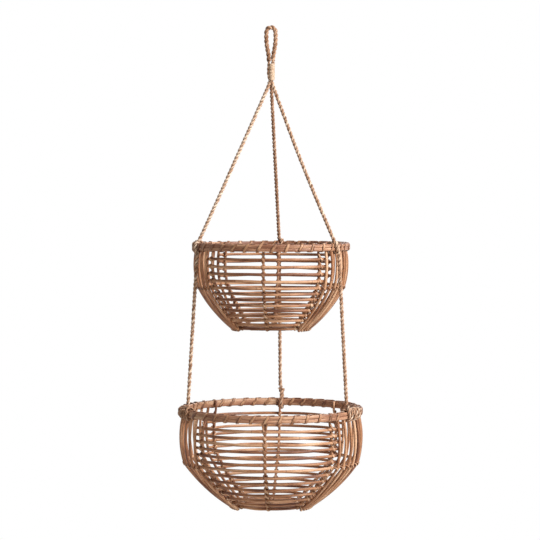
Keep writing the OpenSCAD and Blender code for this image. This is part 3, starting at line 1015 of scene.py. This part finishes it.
@dataclass
class Ribs:
    """Three ribs that run from the front rim over the base to the back rim, and their lashings.

    A bridge is the strand that runs down a rib from one lashing to the next. It starts a little
    below the lashing, and its reach is how far it crosses the rib, as a share of the rib's
    thickness. The fork is half the distance between the two strands at the rim.
    """

    form: Form
    palette: Palette
    plump: float = 1.14
    sway: float = 0.5
    base_steps: int = 8
    half_w: float = 2.5
    half_t: float = 0.65
    slope: float = 48.0
    slope_stray: float = 8.0
    steps: int = 20
    bridge_half_w: float = 2.0
    bridge_start: float = 1.5
    bridge_reach: float = 0.7
    bridge_steps: int = 8
    fork: float = 4.6
    fork_half_w: float = 1.5

    def rib(self, turn: float, seed: float) -> Run:
        """Return one rib.

        Args:
            turn: Its angle from the middle of the front.
            seed: Its own number.

        Returns:
            The rib, from the front rim to the back rim.
        """
        form = self.form
        ends = []
        for side, way in ((Side.FRONT, 1), (Side.BACK, -1)):
            azimuth = form.facing(side) + way * turn
            ends.append(form.wall_rod(
                azimuth, form.rib_in, form.wall.length, form.rim_h / 2, seed + azimuth, self.sway,
                form.rib_lean(side, turn),
            ))
        front, back = ends
        steps = self.base_steps
        across = [front[-1].lerp(back[-1], i / steps) for i in range(1, steps)]
        half = self.plump * form.rib_d / 2
        return Run(front + across + back[::-1], half, half, seed)

    def lashing(self, azimuth: float, place: float, seed: float) -> Run:
        """Return the closed band wound diagonally where a rib crosses a horizontal cane.

        Args:
            azimuth: The direction of the crossing.
            place: Its distance down the wall.
            seed: Its own number.

        Returns:
            The band.
        """
        form = self.form
        inward = -form.outward(azimuth, place)
        along = polar(1, azimuth + 90, 0)
        down = inward.cross(along)
        slope = math.radians(self.slope + drift(seed, 3, self.slope_stray))
        across = along * math.cos(slope) + down * math.sin(slope)
        centre = form.on_wall(azimuth, place, form.cane_in)
        low = -form.cane_d / 2 - form.gap - self.half_t
        high = form.rib_in - form.cane_in + form.rib_d / 2 + form.gap + self.half_t
        half = form.cane_d / 2 / math.sin(slope) + form.gap + self.half_t
        points = []
        normals = []
        for i in range(self.steps):
            turn = TAU * i / self.steps
            c, s = squared(turn, form.band_power)
            depth = (low + high) / 2 + c * (high - low) / 2
            points.append(centre + inward * depth + across * (s * half))
            normals.append(inward * math.cos(turn) + across * math.sin(turn))
        return Run(
            points, self.half_w, self.half_t, seed, normals, closed=True,
            sides=8, power=form.band_power
        )

    def bridge(self, azimuth: float, upper: float, lower: float, seed: float) -> Run:
        """Return the strand that runs down across a rib from one lashing to the next.

        Args:
            azimuth: The rib's direction.
            upper: The upper lashing's distance down the wall.
            lower: The lower lashing's distance down the wall.
            seed: Its own number.

        Returns:
            The strand.
        """
        form = self.form
        depth = form.rib_in - form.rib_d / 2 - self.half_t
        spread = math.degrees(form.rib_d * self.bridge_reach / form.wall.at(upper)[0])
        drop = lower - upper - 2 * self.bridge_start
        points = []
        normals = []
        for i in range(self.bridge_steps + 1):
            share = i / self.bridge_steps
            place = upper + self.bridge_start + drop * share
            side = azimuth + spread * (2 * share - 1)
            points.append(form.on_wall(side, place, depth))
            normals.append(form.outward(azimuth, place))
        return Run(
            points, self.bridge_half_w, self.half_t, seed, normals,
            sides=8, power=form.band_power
        )

    def fork_runs(self, azimuth: float, seed: float) -> list[Run]:
        """Return the two strands that tie a rib to the rim and meet below the first cane.

        Args:
            azimuth: The rib's direction.
            seed: Their own number.

        Returns:
            The left strand and the right one.
        """
        form = self.form
        place = form.first_cane
        face = form.cane_in - form.cane_d / 2 - self.half_t
        top = form.rim_z - form.rim_half + 1.5
        runs = []
        for side in (-1, 1):
            spread = math.degrees(self.fork / form.rim_r) * side
            corners = [
                polar(form.stake_r, azimuth + spread, top),
                polar(form.stake_r, azimuth + spread * 0.9, top - 3),
                form.on_wall(azimuth + spread * 0.5, place - 2.5, face),
                form.on_wall(azimuth + spread * 0.35, place, face),
                form.on_wall(azimuth + spread * 0.1, place + 4.5, face + 1.5),
            ]
            points = smooth_line(corners, 1.0)
            normals = [form.outward(azimuth, place)] * len(points)
            runs.append(Run(
                points, self.fork_half_w, self.half_t, seed + side, normals,
                sides=8, power=form.band_power
            ))
        return runs

    def side_lashings(self, side: Side) -> bpy.types.Object:
        """Make all the lashings of the front or back wall.

        Args:
            side: The front or back wall.

        Returns:
            The new object.
        """
        form = self.form
        places = sorted(form.cane_places(side) + [form.wall.waist, form.wall.length])
        runs = []
        for turn in form.rib_turns:
            azimuth = form.facing(side) + turn
            seed = form.seed + 500 + side.value + turn
            if turn == 0 and side == form.forked:
                runs += self.fork_runs(azimuth, seed)
            lean = form.rib_lean(side, turn)
            for i, (upper, lower) in enumerate(zip([0.0] + places, places)):
                here = azimuth + lean * (1 - lower / form.wall.length)
                runs.append(self.lashing(here, lower, seed + i * 1.7))
                if not lean:
                    runs.append(self.bridge(azimuth, upper, lower, seed + i * 2.3))
        word = side.word
        piece = form.piece(f"{word}_rib_lashings", f"{word}_lashings", Slot.SPLIT_CANE, runs)
        return piece.make(self.palette.strip)

    def build(self) -> list[bpy.types.Object]:
        """Make the ribs and their lashings.

        Returns:
            The new objects.
        """
        form = self.form
        left, middle, right = (self.rib(turn, form.seed + 400 + turn) for turn in form.rib_turns)
        stem = self.palette.rib
        return [
            form.piece("centre_rib", "middle_rib", Slot.RIB, [middle]).make(stem),
            form.piece("outer_ribs", "edge_ribs", Slot.RIB, [left, right]).make(stem),
            self.side_lashings(Side.FRONT),
            self.side_lashings(Side.BACK),
        ]


@dataclass
class Base:
    """Straight canes inside the base ring, each lashed to the ribs that cross above it."""

    form: Form
    palette: Palette
    half_w: float = 1.8
    half_t: float = 0.5
    end_gap: float = 0.5
    sway: float = 0.5
    cane_steps: int = 12
    tie_steps: int = 18

    def __post_init__(self) -> None:
        """Work out the base's heights, reach and directions."""
        form = self.form
        self.rib_r, rib_z, _ = form.wall.at(form.wall.length, form.rib_in)
        self.z = rib_z - (form.rib_in - form.cane_in)
        ring_r = form.wall.at(form.wall.length, form.cane_in)[0]
        self.reach = ring_r - form.cane_d / 2 - form.layer_gap
        self.pitch = 2 * self.reach / (form.base_cane_count + 1)
        self.ahead = polar(1, form.facing(Side.LEFT), 0)
        self.aside = polar(1, form.facing(Side.LEFT) + 90, 0)

    def cane(self, y: float, seed: float) -> Run:
        """Return one straight cane across the base.

        Args:
            y: Its distance from the base's middle.
            seed: Its own number.

        Returns:
            The cane.
        """
        form = self.form
        half = math.sqrt(self.reach ** 2 - y ** 2) - self.end_gap
        points = []
        for i in range(self.cane_steps + 1):
            place = 2 * i / self.cane_steps
            along = self.ahead * (half * (place - 1))
            aside = self.aside * (y + drift(place, seed, self.sway))
            points.append(along + aside + UP * self.z)
        return Run(points, form.cane_d / 2, form.cane_d / 2, seed)

    def tie(self, x: float, y: float, seed: float) -> Run:
        """Return the band wound where a rib crosses a cane of the base.

        Args:
            x: The crossing's distance along the cane from its middle.
            y: The cane's distance from the base's middle.
            seed: Its own number.

        Returns:
            The band.
        """
        form = self.form
        centre = self.ahead * x + self.aside * y + UP * self.z
        across = (self.ahead + self.aside).normalized()
        low = -form.cane_d / 2 - form.gap - self.half_t
        high = form.rib_in - form.cane_in + form.rib_d / 2 + form.gap + self.half_t
        half = form.cane_d / 2 * math.sqrt(2) + form.gap + self.half_t
        points = []
        normals = []
        for i in range(self.tie_steps):
            turn = TAU * i / self.tie_steps
            c, s = math.cos(turn), math.sin(turn)
            level = (low + high) / 2 + c * (high - low) / 2
            points.append(centre + UP * level + across * (s * half))
            normals.append(UP * c + across * s)
        return Run(
            points, self.half_w, self.half_t, seed, normals, closed=True,
            sides=8, power=form.band_power
        )

    def build(self) -> list[bpy.types.Object]:
        """Make the base's canes and their lashings.

        Returns:
            The new objects.
        """
        form = self.form
        canes = []
        ties = []
        for i in range(1, form.base_cane_count + 1):
            y = i * self.pitch - self.reach
            seed = form.seed + 800 + i
            canes.append(self.cane(y, seed))
            for turn in form.rib_turns:
                x = self.rib_r * math.sin(math.radians(turn))
                if math.hypot(x, y) < self.reach - form.cane_d:
                    ties.append(self.tie(x, y, seed + turn))
        rods = form.piece("base_rods", "base_canes", Slot.RATTAN, canes)
        bands = form.piece("base_ties", "base_lashings", Slot.SPLIT_CANE, ties)
        return [rods.make(self.palette.cane), bands.make(self.palette.strip)]


@dataclass(frozen=True)
class Rope:
    """A rope of two strands twisted to the right.

    The half thickness of a strand and its distance from the rope's middle are shares of the
    rope's diameter.
    """

    diameter: float
    pitch: float
    thick: float = 0.295
    orbit: float = 0.215
    steps: int = 16
    twist_wave: float = 45.0
    twist_stray: float = 0.5
    swell_wave: float = 9.0
    uneven: float = 0.1

    def strands(self, corners: list[Vector], seed: float) -> list[Run]:
        """Return the two strands of a rope laid through a few points.

        Args:
            corners: The points that the rope passes, in millimetres.
            seed: The rope's own number.

        Returns:
            The two strands.
        """
        guide = Run(smooth_line(corners, self.pitch / self.steps), 1.0, 1.0)
        lengths = guide.lengths()
        thick = self.diameter * self.thick
        orbit = self.diameter * self.orbit
        runs = []
        for k in (0, 1):
            points = []
            normals = []
            swell = []
            for place, length in zip(guide.frames(), lengths):
                turn = TAU * (length / self.pitch + k / 2 + seed * 0.37)
                turn += drift(length / self.twist_wave, seed, self.twist_stray)
                away = place.to_3x3() @ Vector((math.cos(turn), math.sin(turn), 0))
                points.append(place.translation + away * orbit)
                normals.append(away)
                swell.append(1 + drift(length / self.swell_wave, seed + k * 3, self.uneven))
            runs.append(Run(points, thick, thick, seed + k * 0.31, normals, swell))
        return runs


@dataclass
class Neck:
    """The hanging loop, the rope ends inside the neck, its whipping and where the ropes part.

    The whipping starts and ends a margin inside its stretch, where it tapers off.
    """

    palette: Palette
    loop_rope: Rope = Rope(8.4, 16.0)
    thin_rope: Rope = Rope(5.4, 15.0)
    edge_rope: Rope = Rope(5.6, 15.0)
    inner_rope: Rope = Rope(6.8, 15.0)
    bundle_r: float = 2.4
    eye_w: float = 9.0
    eye_side: float = 14.0
    cad_loop_d: float = 7.4
    throat_z: float = -56.0
    whip_z: float = -60.0
    whip_bottom: float = -91.5
    whip_r: float = 5.2
    whip_shift: float = 1.0
    whip_turns: int = 25
    whip_steps: int = 20
    whip_half_t: float = 0.75
    whip_margin: float = 1.0
    whip_overlap: float = 1.25
    whip_taper: float = 0.14
    whip_stray: float = 0.2
    crown_z: float = -95.1
    azimuths: tuple[float, float, float] = (200.4, -37.3, 82.5)

    @property
    def leg(self) -> float:
        """Return how far the middle of the loop's leg is from the axis."""
        return self.cad_loop_d / 2 + 0.1

    def loop(self) -> bpy.types.Object:
        """Make the doubled rope's loop.

        Returns:
            The new object.
        """
        loop_r = (self.eye_w + self.cad_loop_d) / 2
        arch = self.cad_loop_d / 2 - loop_r
        right = [
            Vector((self.leg, 0, self.throat_z)),
            Vector((self.leg + 0.3, 0, self.throat_z + 8)),
            Vector((loop_r - 0.4, 0, arch - self.eye_side - 6)),
            Vector((loop_r, 0, arch - 4)),
        ]
        top = [
            Vector((loop_r * math.cos(turn), 0, arch + loop_r * math.sin(turn)))
            for turn in (math.pi * k / 6 for k in range(1, 6))
        ]
        left = [Vector((-point.x, 0, point.z)) for point in reversed(right)]
        runs = self.loop_rope.strands(right + top + left, 1.0)
        piece = Piece("loop_rope", "hanger", ["hanging_loop"], Slot.ROPE, runs)
        return piece.make(self.palette.rope)

    def bundle(self) -> bpy.types.Object:
        """Make the ropes inside the neck, where the one on the left edge shows.

        Returns:
            The new object.
        """
        runs = []
        for k, azimuth in enumerate(self.azimuths):
            line = [
                polar(self.bundle_r, azimuth, self.whip_z - 3),
                polar(self.bundle_r, azimuth, self.whip_bottom + 2),
            ]
            runs += self.thin_rope.strands(line, 3.0 + k)
        leg = self.leg
        edge = [
            Vector((-leg, 0, self.throat_z + 0.5)),
            Vector((-leg, -0.3, self.whip_z)),
            Vector((-4.6, -0.8, self.whip_z - 12)),
            Vector((-4.6, -0.8, self.whip_bottom + 12)),
            Vector((-2.6, -0.5, self.whip_bottom + 1.0)),
        ]
        runs += self.edge_rope.strands(edge, 6.0)
        inner = [
            Vector((leg, 0, self.throat_z + 0.5)),
            Vector((leg - 0.3, 0, self.whip_z)),
            Vector((leg - 1.2, 0, self.whip_z - 8)),
        ]
        runs += self.inner_rope.strands(inner, 6.5)
        piece = Piece("neck_ropes", "whipped_neck", ["rope_bundle"], Slot.ROPE, runs)
        return piece.make(self.palette.rope)

    def whipping(self) -> bpy.types.Object:
        """Make the tight turns of twine round the neck.

        Returns:
            The new object.
        """
        count = self.whip_turns * self.whip_steps
        height = self.whip_z - self.whip_bottom - 2 * self.whip_margin
        half_w = height / self.whip_turns / 2 * self.whip_overlap
        points = []
        normals = []
        for i in range(count + 1):
            angle = 360 * i / self.whip_steps
            share = i / count
            # The first and the last twelfth taper off
            thin = 1 - min(1, min(share, 1 - share) * 12)
            radius = self.whip_r * (1 - self.whip_taper * thin)
            radius += drift(i / 40, 2.0, self.whip_stray)
            z = self.whip_z - self.whip_margin - height * share
            points.append(polar(radius, angle, z) + Vector((self.whip_shift, 0, 0)))
            normals.append(polar(1, angle, 0))
        run = Run(points, half_w, self.whip_half_t, 8.0, normals, sides=8)
        piece = Piece("neck_whipping", "whipped_neck", ["whipping"], Slot.TWINE, [run])
        return piece.make(self.palette.twine)

    def crown(self) -> bpy.types.Object:
        """Make the short stretch below the whipping where the three ropes part.

        Returns:
            The new object.
        """
        runs = []
        for k, azimuth in enumerate(self.azimuths):
            line = [
                polar(2.2, azimuth, self.whip_bottom + 1.5),
                polar(2.7, azimuth, self.crown_z - 3),
            ]
            runs += self.thin_rope.strands(line, 7.0 + k)
        piece = Piece("crown_ropes", "crown", ["crown_turn"], Slot.ROPE, runs)
        return piece.make(self.palette.rope)

    def build(self) -> list[bpy.types.Object]:
        """Make the neck's pieces."""
        return [self.loop(), self.bundle(), self.whipping(), self.crown()]


@dataclass(frozen=True)
class Route:
    """Where one of the three ropes runs.

    It meets the upper rim's top at one radius and direction, and hangs below from another. The
    slack is how far the middle of the upper stretch hangs inside a straight line.
    """

    word: str
    azimuth: float
    land_r: float
    slack: float
    hitch_step: float
    hang_azimuth: float
    hang_r: float


LEFT_ROPE = Route("left", 200.4, 136.0, 0.5, -3.94, 202.9, 142.4)
RIGHT_ROPE = Route("right", -37.3, 139.5, 3.5, 2.46, -34.9, 145.8)
BACK_ROPE = Route("back", 83.7, 137.5, 0.5, -2.46, 83.8, 144.6)


@dataclass
class Ropework:
    """The ropes from the neck to the rims, with their turns round them and the knotted eye.

    The snug is how much nearer to a rim than a rope of full size a turn lies, and the bevel how
    much it cuts the rim's corners. The shares are how far the turns of a rope's end lean across
    a gap between stakes, below the rim and above it.
    """

    palette: Palette
    upper: Form
    lower: Form
    cad_rope_d: float = 6.0
    rope: Rope = Rope(7.0, 15.0)
    turn_rope: Rope = Rope(5.4, 17.0)
    eye_rope: Rope = Rope(6.8, 18.0)
    knot_rope: Rope = Rope(5.2, 14.0)
    slant_rope: Rope = Rope(3.6, 12.0)
    tail_rope: Rope = Rope(3.4, 11.0)
    turn_snug: float = 1.0
    end_snug: float = 1.3
    end_bevel: float = 4.5
    end_shares: tuple[float, float] = (0.3, 0.5)
    bend_rises: tuple[float, float] = (2.6, -4.2)
    start_r: float = 3.72
    start_z: float = -99.0
    foot_z: float = -666.5
    back_foot_z: float = -654.2
    knot_az: float = 82.6
    knot_z: float = -663.0
    knot_turns: float = 1.6
    knot_steps: int = 20
    knot_half: float = 3.4
    knot_depth: float = 3.2

    def __post_init__(self) -> None:
        """Work out where the ropes pass the rims."""
        upper, lower = self.upper, self.lower
        half = self.cad_rope_d / 2
        self.rope_r = upper.rim_r + upper.gap + half
        self.shoulder_z = upper.rim_z + upper.rim_half + half
        self.bend_z = upper.rim_z - upper.rim_half - upper.gap - 2 * half
        self.foot_r = lower.rim_r - half
        gaps = [(k + 0.5) * lower.stake_pitch for k in (4, 3, 2)]
        self.left_gaps = [lower.facing(Side.LEFT) + gap for gap in gaps]
        self.right_gaps = [lower.facing(Side.RIGHT) - gap for gap in gaps]

    def lay(
        self, name: str, body: str, nodes: list[str], corners: list[Vector], seed: float,
        rope: Rope | None = None,
    ) -> bpy.types.Object:
        """Make one stretch of rope."""
        runs = (rope or self.rope).strands(corners, seed)
        return Piece(name, body, nodes, Slot.ROPE, runs).make(self.palette.rope)

    def section(self, form: Form, snug: float, bevel: float = 3.0) -> list[tuple[float, float]]:
        """Return radii and heights of a rope's middle as it goes down, under and up round a rim.

        Args:
            form: The basket.
            snug: How much nearer to the rim than a rope of full size it lies.
            bevel: How much it cuts the corners.

        Returns:
            Eight corners, from the outer one above the rim.
        """
        half = self.cad_rope_d / 2 - snug
        out_r = form.rim_r + form.gap + half
        in_r = form.inner_in - form.strip_t - 2 * form.gap - half
        reach = form.rim_half + form.gap + half
        z = form.rim_z
        return [
            (out_r - bevel, z + reach), (out_r, z + reach - bevel),
            (out_r, z - reach + bevel), (out_r - bevel, z - reach),
            (in_r + bevel, z - reach), (in_r, z - reach + bevel),
            (in_r, z + reach - bevel), (in_r + bevel, z + reach),
        ]

    def long_rope(self, route: Route, seed: float) -> list[bpy.types.Object]:
        """Make one rope from the neck to the upper rim, its turn and the bend below.

        Args:
            route: Where it runs.
            seed: Its own number.

        Returns:
            The new objects.
        """
        word, azimuth, hang = route.word, route.azimuth, route.hang_azimuth
        land = self.shoulder_z + 2
        middle = (self.start_z + land) / 2
        corners = [
            polar(self.start_r * 0.85, azimuth, self.start_z + 4.5),
            polar(self.start_r, azimuth, self.start_z),
            polar((self.start_r + route.land_r) / 2 - route.slack, azimuth, middle),
            polar(route.land_r, azimuth, land),
            polar(self.rope_r - 1.5, azimuth * 0.7 + hang * 0.3, self.shoulder_z - 5),
            polar(self.rope_r, azimuth * 0.3 + hang * 0.7, self.bend_z + 8),
            polar(route.hang_r, hang, self.bend_z + 2),
        ]
        turn_az = azimuth + route.hitch_step
        around = [polar(r, turn_az, z) for r, z in self.section(self.upper, self.turn_snug)]
        return [
            self.lay(f"{word}_long_rope", "upper_tier", [f"{word}_upper_rope"], corners, seed),
            self.lay(
                f"{word}_rim_turn", "upper_tier", [f"{word}_upper_hitch"],
                around + around[:1], seed + 10, self.turn_rope
            ),
            self.lay(
                f"{word}_bend_rope", f"{word}_bend", [f"{word}_rope_bend"],
                [polar(route.hang_r, hang, self.bend_z + rise) for rise in self.bend_rises],
                seed + 20
            ),
        ]

    def end_turns(self, word: str, gaps: list[float], seed: float) -> bpy.types.Object:
        """Make the end of a side rope, wound six times round the lower rim.

        Args:
            word: The rope's side.
            gaps: The directions of the gaps between stakes that it passes.
            seed: Its own number.

        Returns:
            The new object.
        """
        stations = self.section(self.lower, self.end_snug, self.end_bevel)
        below, above = self.end_shares
        step = gaps[1] - gaps[0]
        corners = [polar(self.foot_r, gaps[0], self.foot_z - 2)]
        for k in range(2 * len(gaps)):
            gap = gaps[k // 2]
            side = (k % 2 - 0.5) * step
            for i, (r, z) in enumerate(stations):
                if k or i:
                    # Two turns share a gap between stakes below, and above they spread evenly
                    share = below if 2 <= i <= 4 else above
                    corners.append(polar(r, gap + side * share, z))
        out_r, z = stations[1]
        corners.append(polar(out_r, gaps[-1] + step * 0.75, z))
        return self.lay(
            f"{word}_end_turns", "lower_tier", [f"{word}_lower_hitch"], corners, seed,
            self.turn_rope
        )

    def short_rope(self, route: Route, foot: Vector, seed: float) -> bpy.types.Object:
        """Make one rope between the baskets."""
        top = polar(route.hang_r, route.hang_azimuth, self.bend_z - 2)
        return self.lay(
            f"{route.word}_short_rope", f"{route.word}_rope", [f"{route.word}_drop_rope"],
            [top, top.lerp(foot, 0.5), foot], seed
        )

    def knotted_eye(self) -> list[bpy.types.Object]:
        """Make the back rope's foot, its knot and its eye round the lower rim.

        Returns:
            The new objects.
        """
        azimuth = self.knot_az
        down = [
            polar(self.foot_r, BACK_ROPE.hang_azimuth, self.back_foot_z + 3.2),
            polar(self.foot_r, (BACK_ROPE.hang_azimuth + azimuth) / 2, self.back_foot_z - 4),
        ]
        foot = self.lay("back_foot_rope", "back_foot", ["back_foot_bend"], down, 60.0)
        stations = self.section(self.lower, 0)
        knot = polar(self.foot_r, azimuth, self.knot_z)
        eye = [knot] + [polar(r, azimuth, z) for r, z in stations[1:7]]
        eye.append(polar(self.foot_r - 3, azimuth, self.knot_z - 1))
        runs = self.eye_rope.strands(eye, 61.0)
        half = self.knot_half
        coil = []
        for i in range(self.knot_steps + 1):
            share = i / self.knot_steps
            turn = TAU * self.knot_turns * share
            coil.append(polar(
                self.foot_r + self.knot_depth * math.cos(turn),
                azimuth + math.degrees(half * math.sin(turn) / self.foot_r),
                self.knot_z + half - 2 * half * share,
            ))
        runs += self.knot_rope.strands(coil, 62.0)
        in_r, low = stations[5]
        slant = [
            polar(self.foot_r - 5, azimuth, self.knot_z - 4),
            polar(in_r + 1, azimuth + 0.8, self.lower.rim_z + 4),
            polar(in_r + 1, azimuth + 1.9, low - 2),
        ]
        runs += self.slant_rope.strands(slant, 63.0)
        tail = [
            polar(self.foot_r - 3, azimuth, self.knot_z - 1),
            polar(self.foot_r - 5, azimuth + 1.2, self.knot_z + 1),
            polar(self.foot_r - 6, azimuth + 2.3, self.knot_z + 3.5),
        ]
        runs += self.tail_rope.strands(tail, 64.0)
        eye_piece = Piece("back_knotted_eye", "lower_tier", ["back_lower_eye"], Slot.ROPE, runs)
        return [foot, eye_piece.make(self.palette.rope)]

    def build(self) -> list[bpy.types.Object]:
        """Make all the ropes.

        Returns:
            The new objects.
        """
        feet = (
            polar(self.foot_r, self.left_gaps[0], self.foot_z),
            polar(self.foot_r - 3.5, self.right_gaps[0], self.foot_z),
            polar(self.foot_r, BACK_ROPE.hang_azimuth, self.back_foot_z),
        )
        made = []
        for i, (route, foot) in enumerate(zip((LEFT_ROPE, RIGHT_ROPE, BACK_ROPE), feet)):
            made += self.long_rope(route, 10.0 + i)
            made.append(self.short_rope(route, foot, 40.0 + i))
        made.append(self.end_turns("left", self.left_gaps, 50.0))
        made.append(self.end_turns("right", self.right_gaps, 51.0))
        return made + self.knotted_eye()


@dataclass
class Studio:
    """A pale floor, soft light from the right and the photograph's view.

    The camera's sizes are in millimetres and pixels. The fade is where the floor starts and
    ends to turn white, in metres from the object's axis.
    """

    distance: float = 3600.0
    eye_x: float = -1.8
    eye_z: float = -302.0
    focal_px: float = 2000.0
    image_px: float = 540.0
    horizon_px: float = 72.0
    floor_z: float = -1300.0
    fade: tuple[float, float] = (0.5, 1.3)
    aim: tuple[float, float, float] = (0.0, 0.0, -0.45)
    lamp_colour: tuple[float, float, float] = (0.96, 1.0, 1.05)
    sky_colour: tuple[float, float, float, float] = (1.0, 0.86, 0.75, 1.0)
    sky_strength: float = 0.19
    white: tuple[float, float, float, float] = (1.0, 1.0, 1.0, 1.0)

    def camera(self) -> None:
        """Place the camera in front, level with the upper rim and tilted slightly down."""
        data = bpy.data.cameras.new("view")
        data.sensor_width = 36.0
        data.lens = self.focal_px * data.sensor_width / self.image_px
        data.clip_end = 50.0
        camera = bpy.data.objects.new("view", data)
        camera.location = Vector((self.eye_x, -self.distance, self.eye_z)) * MM
        tilt = math.atan(self.horizon_px / self.focal_px)
        camera.rotation_euler = (math.pi / 2 - tilt, 0, 0)
        bpy.context.scene.collection.objects.link(camera)
        bpy.context.scene.camera = camera

    def lamp(self, name: str, place: tuple[float, float, float], size: float, power: float) -> None:
        """Add a square soft light that points at the middle of the object.

        Args:
            name: The lamp's name.
            place: Where it stands, in metres.
            size: Its side, in metres.
            power: Its power, in watts.
        """
        data = bpy.data.lights.new(name, "AREA")
        data.size = size
        data.energy = power
        data.color = self.lamp_colour
        lamp = bpy.data.objects.new(name, data)
        lamp.location = place
        aim = Vector(self.aim) - lamp.location
        lamp.rotation_euler = aim.to_track_quat("-Z", "Y").to_euler()
        bpy.context.scene.collection.objects.link(lamp)

    def seen(self, tree: bpy.types.NodeTree) -> bpy.types.NodeSocket:
        """Return 1 for the rays that show a background, also in metal and glass.

        Args:
            tree: The node tree.

        Returns:
            The socket.
        """
        rays = add_node(tree, "ShaderNodeLightPath").outputs
        total = rays["Is Camera Ray"]
        for name in ("Is Glossy Ray", "Is Transmission Ray"):
            total = add_node(
                tree, "ShaderNodeMath", {"operation": "MAXIMUM"}, {0: total, 1: rays[name]}
            ).outputs[0]
        return total

    def world(self) -> None:
        """Light the object softly from all round, in front of a white backdrop."""
        world = bpy.data.worlds.new("studio")
        world.use_nodes = True
        bpy.context.scene.world = world
        tree = world.node_tree
        soft = tree.nodes["Background"]
        soft.inputs["Color"].default_value = self.sky_colour
        soft.inputs["Strength"].default_value = self.sky_strength
        white = add_node(tree, "ShaderNodeBackground", {}, {"Color": self.white, "Strength": 1.0})
        mixed = add_node(
            tree, "ShaderNodeMixShader", {},
            {0: self.seen(tree), 1: soft.outputs[0], 2: white.outputs[0]},
        )
        tree.links.new(mixed.outputs[0], tree.nodes["World Output"].inputs["Surface"])

    def floor(self) -> None:
        """Lay a pale floor that fades to the backdrop's white away from the object."""
        mesh = bmesh.new()
        level = Matrix.Translation((0, 0, self.floor_z * MM))
        bmesh.ops.create_grid(mesh, x_segments=1, y_segments=1, size=12.0, matrix=level)
        data = bpy.data.meshes.new("floor")
        mesh.to_mesh(data)
        mesh.free()
        floor = bpy.data.objects.new("floor", data)
        bpy.context.scene.collection.objects.link(floor)
        # Matt white-painted board: it keeps the shadow near the object
        paint = bpy.data.materials.new("white_board")
        paint.use_nodes = True
        tree = paint.node_tree
        shader = tree.nodes["Principled BSDF"]
        shader.inputs["Base Color"].default_value = linear("#dedcd7")
        shader.inputs["Roughness"].default_value = 0.9
        place = add_node(tree, "ShaderNodeTexCoord").outputs["Object"]
        flat = add_node(
            tree, "ShaderNodeVectorMath", {"operation": "MULTIPLY"}, {0: place, 1: (1, 1, 0)}
        ).outputs[0]
        away = add_node(
            tree, "ShaderNodeVectorMath", {"operation": "LENGTH"}, {0: flat}
        ).outputs["Value"]
        share = add_node(
            tree, "ShaderNodeMapRange", {"interpolation_type": "SMOOTHSTEP"},
            {"Value": away, "From Min": self.fade[0], "From Max": self.fade[1]},
        ).outputs["Result"]
        shown = add_node(
            tree, "ShaderNodeMath", {"operation": "MULTIPLY"}, {0: share, 1: self.seen(tree)}
        ).outputs[0]
        white = add_node(tree, "ShaderNodeEmission", {}, {"Color": self.white, "Strength": 1.0})
        mixed = add_node(
            tree, "ShaderNodeMixShader", {}, {0: shown, 1: shader.outputs[0], 2: white.outputs[0]}
        )
        tree.links.new(mixed.outputs[0], tree.nodes["Material Output"].inputs["Surface"])
        data.materials.append(paint)

    def build(self) -> None:
        """Make the camera, the lamps and what surrounds the object."""
        self.camera()
        self.lamp("key", (2.85, -1.95, 1.5), 1.4, 252.0)
        self.lamp("fill", (-1.2, -3.4, 0.6), 2.5, 8.0)
        self.lamp("back", (1.2, 3.4, 1.0), 2.0, 45.0)
        self.world()
        self.floor()
        bpy.context.scene.view_settings.view_transform = "Standard"


def main() -> None:
    """Build the object and its studio."""
    logging.basicConfig(level=logging.INFO, format="%(message)s")
    Studio().build()
    palette = Palette()
    upper = Form(
        name="upper", body="upper_tier", front=264.0, rim_z=-389.0, rim_r=141.5, flare=11.0,
        lens=(64.0, 5.0, 97.5), turns=(28.0, 11.0, 24.0), side_canes=4, bowl_canes=7, wraps=36,
        forked=Side.BACK, back_lift=3.0, back_lean=0.0, seed=1.0, first_cane_drop=20.0,
    )
    lower = Form(
        name="lower", body="lower_tier", front=266.0, rim_z=-685.0, rim_r=165.0, flare=14.0,
        lens=(84.0, 5.0, 116.0), turns=(29.5, 20.0, 23.0), side_canes=6, bowl_canes=6, wraps=42,
        forked=Side.FRONT, back_lift=0.0, back_lean=-2.4, seed=2000.0,
    )
    made = Neck(palette).build() + Ropework(palette, upper, lower).build()
    for form in (upper, lower):
        for part in (Rim, Panels, Ribs, Base):
            made += part(form, palette).build()
    for piece in made:
        log.info("%s: %d faces", piece.name, len(piece.data.polygons))


if __name__ == "__main__":
    main()
